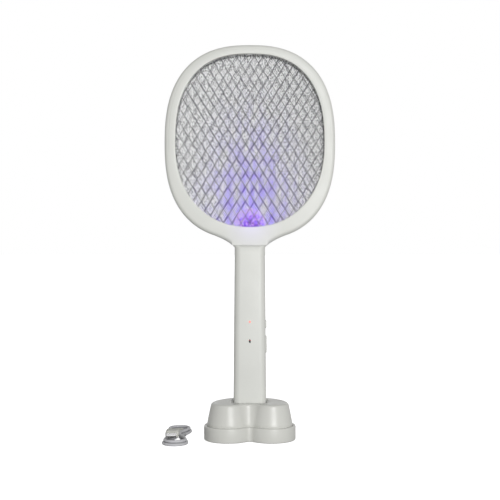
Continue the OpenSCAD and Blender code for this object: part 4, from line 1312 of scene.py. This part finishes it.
def make_stand_skirt():
    """The stand's tray with its skirt: rounded edges above and below, a floor inside, and screw holes."""
    low, high = TRAY_LOW[2], TRAY_HIGH[2]
    top_r, foot_r = 1.3 * MM, 1.6 * MM
    quarter = np.linspace(0, math.pi / 2, 6)
    levels = [(low + foot_r * (1 - math.sin(a)), SKIRT_FLARE - foot_r * (1 - math.cos(a)))
              for a in quarter[::-1]]
    levels += [((low + high) / 2, SKIRT_FLARE)]
    levels += [(high - top_r * (1 - math.sin(a)), SKIRT_FLARE - top_r * (1 - math.cos(a))) for a in quarter]
    inner = BODY_FLARE + 0.35 * MM
    levels += [(high - 0.1 * MM, inner + 0.5 * MM), (high - 0.6 * MM, inner),
               (STAND_LOW[2] - 0.1 * MM, inner)]
    loops = [lifted(stand_outline(grow), z) for z, grow in levels]
    skirt = loft("stand_skirt", np.array(loops), smooth_angle=35)
    holes = [turned("hole", (x, y, low - 1 * MM), 2, 1, [(r, 0), (r, depth)])
             for places, r, depth in [(STAND_SCREW_AT, 2.5 * MM, 2.6 * MM), (FOOT_AT, 5.05 * MM, 2.2 * MM)]
             for x, y in places]
    skirt = cut(skirt, holes, 32)
    finish_piece(skirt, "stand", "stand_plastic", stand_plastic, "stand_tray")


FOOT_AT = [(-36 * MM, -20 * MM), (36 * MM, -20 * MM), (-30 * MM, 16 * MM), (30 * MM, 16 * MM)]
STAND_SCREW_AT = [(-28 * MM, -6 * MM), (28 * MM, -6 * MM), (0, 28 * MM)]


def make_stand_socket():
    """The socket that holds the handle: a tube with a raised, rounded lip, a floor and three screw posts."""
    low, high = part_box("stand_socket")
    floor_z = HANDLE_Z
    inner_w, inner_d = HANDLE_BOTTOM[0] / 2 + 0.5 * MM, HANDLE_BOTTOM[1] / 2 + 0.5 * MM
    corner = HANDLE_CORNER + 0.5 * MM
    wall = 1.6 * MM

    def level(out, z):
        """One outline of the socket at a distance outside its bore."""
        section = rounded_section(inner_w + out, inner_d + out, corner + out, 10)
        return lifted(section, z)

    rings = [level(wall, low[2]), level(wall, high[2] - 0.8 * MM)]
    rings += [level(wall - 0.8 * MM * (1 - math.cos(a)), high[2] - 0.8 * MM * (1 - math.sin(a)))
              for a in np.linspace(0, math.pi / 2, 5)[1:]]
    rings += [level(0.6 * MM * (1 - math.sin(a)), high[2] - 0.6 * MM * (1 - math.cos(a)))
              for a in np.linspace(0, math.pi / 2, 5)]
    rings += [level(0, floor_z), level(-3 * MM, floor_z - 0.01 * MM)]
    tube_part = loft("socket_tube", np.array(rings), smooth_angle=35)
    posts = [turned("post", (x, y, low[2]), 2, 1, [(3 * MM, 0), (3 * MM, 13.6 * MM), (2.6 * MM, 14 * MM)])
             for x, y in STAND_SCREW_AT]
    ribs = [rounded_block("rib", (-half_x, from_y, low[2]), (half_x, to_y, low[2] + 2 * MM),
                          0.5 * MM, 0.3 * MM)
            for half_x, from_y, to_y in [(31 * MM, -10 * MM, -2 * MM), (4 * MM, 0, 28 * MM)]]
    socket = joined("socket", [tube_part] + posts + ribs, 35)
    finish_piece(socket, "stand", "stand_plastic", stand_plastic, "stand_socket")


def make_stand_feet():
    """The rubber feet, with a rounded rim and a shallow ring, and the stand's screws."""
    low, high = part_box("rubber_feet")
    thick = high[2] - low[2]
    r = 5 * MM
    profile = [(0, 0.5 * MM), (1.9 * MM, 0.5 * MM), (2.2 * MM, 0), (r - 0.5 * MM, 0),
               (r - 0.12 * MM, 0.18 * MM), (r, 0.5 * MM), (r, thick), (0, thick)]
    feet = [turned("foot", (x, y, low[2]), 2, 1, profile) for x, y in FOOT_AT]
    finish_piece(joined("feet", feet, 35), "stand", "foot_rubber", foot_rubber, "rubber_feet")
    low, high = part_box("stand_screws")
    places = [(x, y, low[2] + SCREW_SINK) for x, y in STAND_SCREW_AT]
    screws = pan_screws("base_screws", places, 8 * MM, 2, -1)
    finish_piece(screws, "stand", "screw_steel", screw_metal, "stand_screws")


# ---------------------------------------------------------------- parts inside, kept as the CAD has them
def dress_inner_parts():
    """Gives every CAD node that stays its own material."""
    finishes = {
        "front_spacer_ring": head_plastic, "rear_spacer_ring": head_plastic, "uv_led_board": board_green,
        "main_circuit_board": board_green, "board_screws": screw_metal, "hv_transformer": yellow_tape,
        "hv_capacitor": dipped_resin, "hv_diodes": black_plastic, "battery_cell": cell_sleeve,
        "battery_tray": black_plastic, "battery_contacts": bright_metal, "battery_leads": wire_cover,
        "hv_leads": wire_cover, "uv_leads": wire_cover, "mode_switch_body": black_plastic,
        "trigger_microswitch": black_plastic, "power_led": red_lamp,
        "charge_led": red_lamp, "charging_socket": bright_metal}
    for node, material in finishes.items():
        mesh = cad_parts[node].data
        mesh.materials.clear()
        mesh.materials.append(material)


# ---------------------------------------------------------------- floor, light and the finish
def paper_world():
    """A white backdrop behind the object, and a dimmer room elsewhere, by the direction alone."""
    world = bpy.data.worlds.new("studio")
    world.use_nodes = True
    tree = world.node_tree
    way = add_node(tree, "TexCoord", {}).outputs["Generated"]
    parts = add_node(tree, "SeparateXYZ", {"Vector": way}).outputs
    level = maths(tree, "MULTIPLY_ADD", parts["Z"], 0.5, 0.5)
    room = colour_ramp(tree, level, [(at, (v, v, v)) for at, v in ROOM_LEVELS])
    fade = spread(tree, parts["Y"], *BACKDROP_FADE, room, BACKDROP_LIGHT, interpolation_type="SMOOTHSTEP")
    fill(tree, tree.nodes["Background"], {"Strength": fade, "Color": (1, 1, 1, 1)})
    bpy.context.scene.world = world


def make_studio():
    """A white floor, a white backdrop behind, and soft boxes in front."""
    material, tree, shader = new_material("paper", (0.9, 0.9, 0.9), 0.9)
    shader.inputs["Specular IOR Level"].default_value = 0.1
    glowing(tree, shader, FLOOR_GLOW, (1, 1, 1))
    vary_colour(tree, shader, object_noise(tree, 2), (0.895, 0.895, 0.895), (0.905, 0.905, 0.905))
    a = np.linspace(0, TAU, FLOOR_SIDES, endpoint=False)
    rings = np.array(FLOOR_RINGS)[:, None]
    loops = np.stack([rings * np.cos(a), rings * np.sin(a), np.zeros((len(rings), FLOOR_SIDES))], -1)
    faces = grid_faces(len(rings), FLOOR_SIDES) + [list(range(FLOOR_SIDES))]
    floor = new_object("floor", loops, faces, 80)
    floor.data.materials.append(material)
    floor.visible_diffuse = False
    floor.visible_glossy = False
    paper_world()
    bpy.context.scene.view_settings.view_transform = "Standard"
    for name, place, target, size, power in LIGHTS:
        data = bpy.data.lights.new(name, "AREA")
        data.shape = "RECTANGLE"
        data.size, data.size_y = size
        data.energy = power
        light = bpy.data.objects.new(name, data)
        light.location = place
        x, y, z = np.asarray(target, float) - np.asarray(place, float)
        light.rotation_euler = (math.acos(-z / math.sqrt(x * x + y * y + z * z)), 0, math.atan2(-x, y))
        bpy.context.collection.objects.link(light)


BACKDROP_FADE = (0.72, 0.93)
BACKDROP_LIGHT = 1.0
ROOM_LEVELS = [(0.0, 0.13), (1.0, 0.24), (0.42, 0.36), (0.5, 0.6), (0.6, 0.5)]
FLOOR_GLOW = 0.9
FLOOR_RINGS = (0.02, 0.5, 1, 2, 4, 8, 16, 40.0)
FLOOR_SIDES = 64
LIGHTS = [("front_box", (0.5, -2.0, 0.45), (0, 0, 0.25), (0.9, 1.1), 34)]

make_lamp()
make_handle()
make_shell_screws()
make_controls()
make_trigger_spring()
make_stand_body()
make_stand_skirt()
make_stand_socket()
make_stand_feet()
dress_inner_parts()
make_studio()
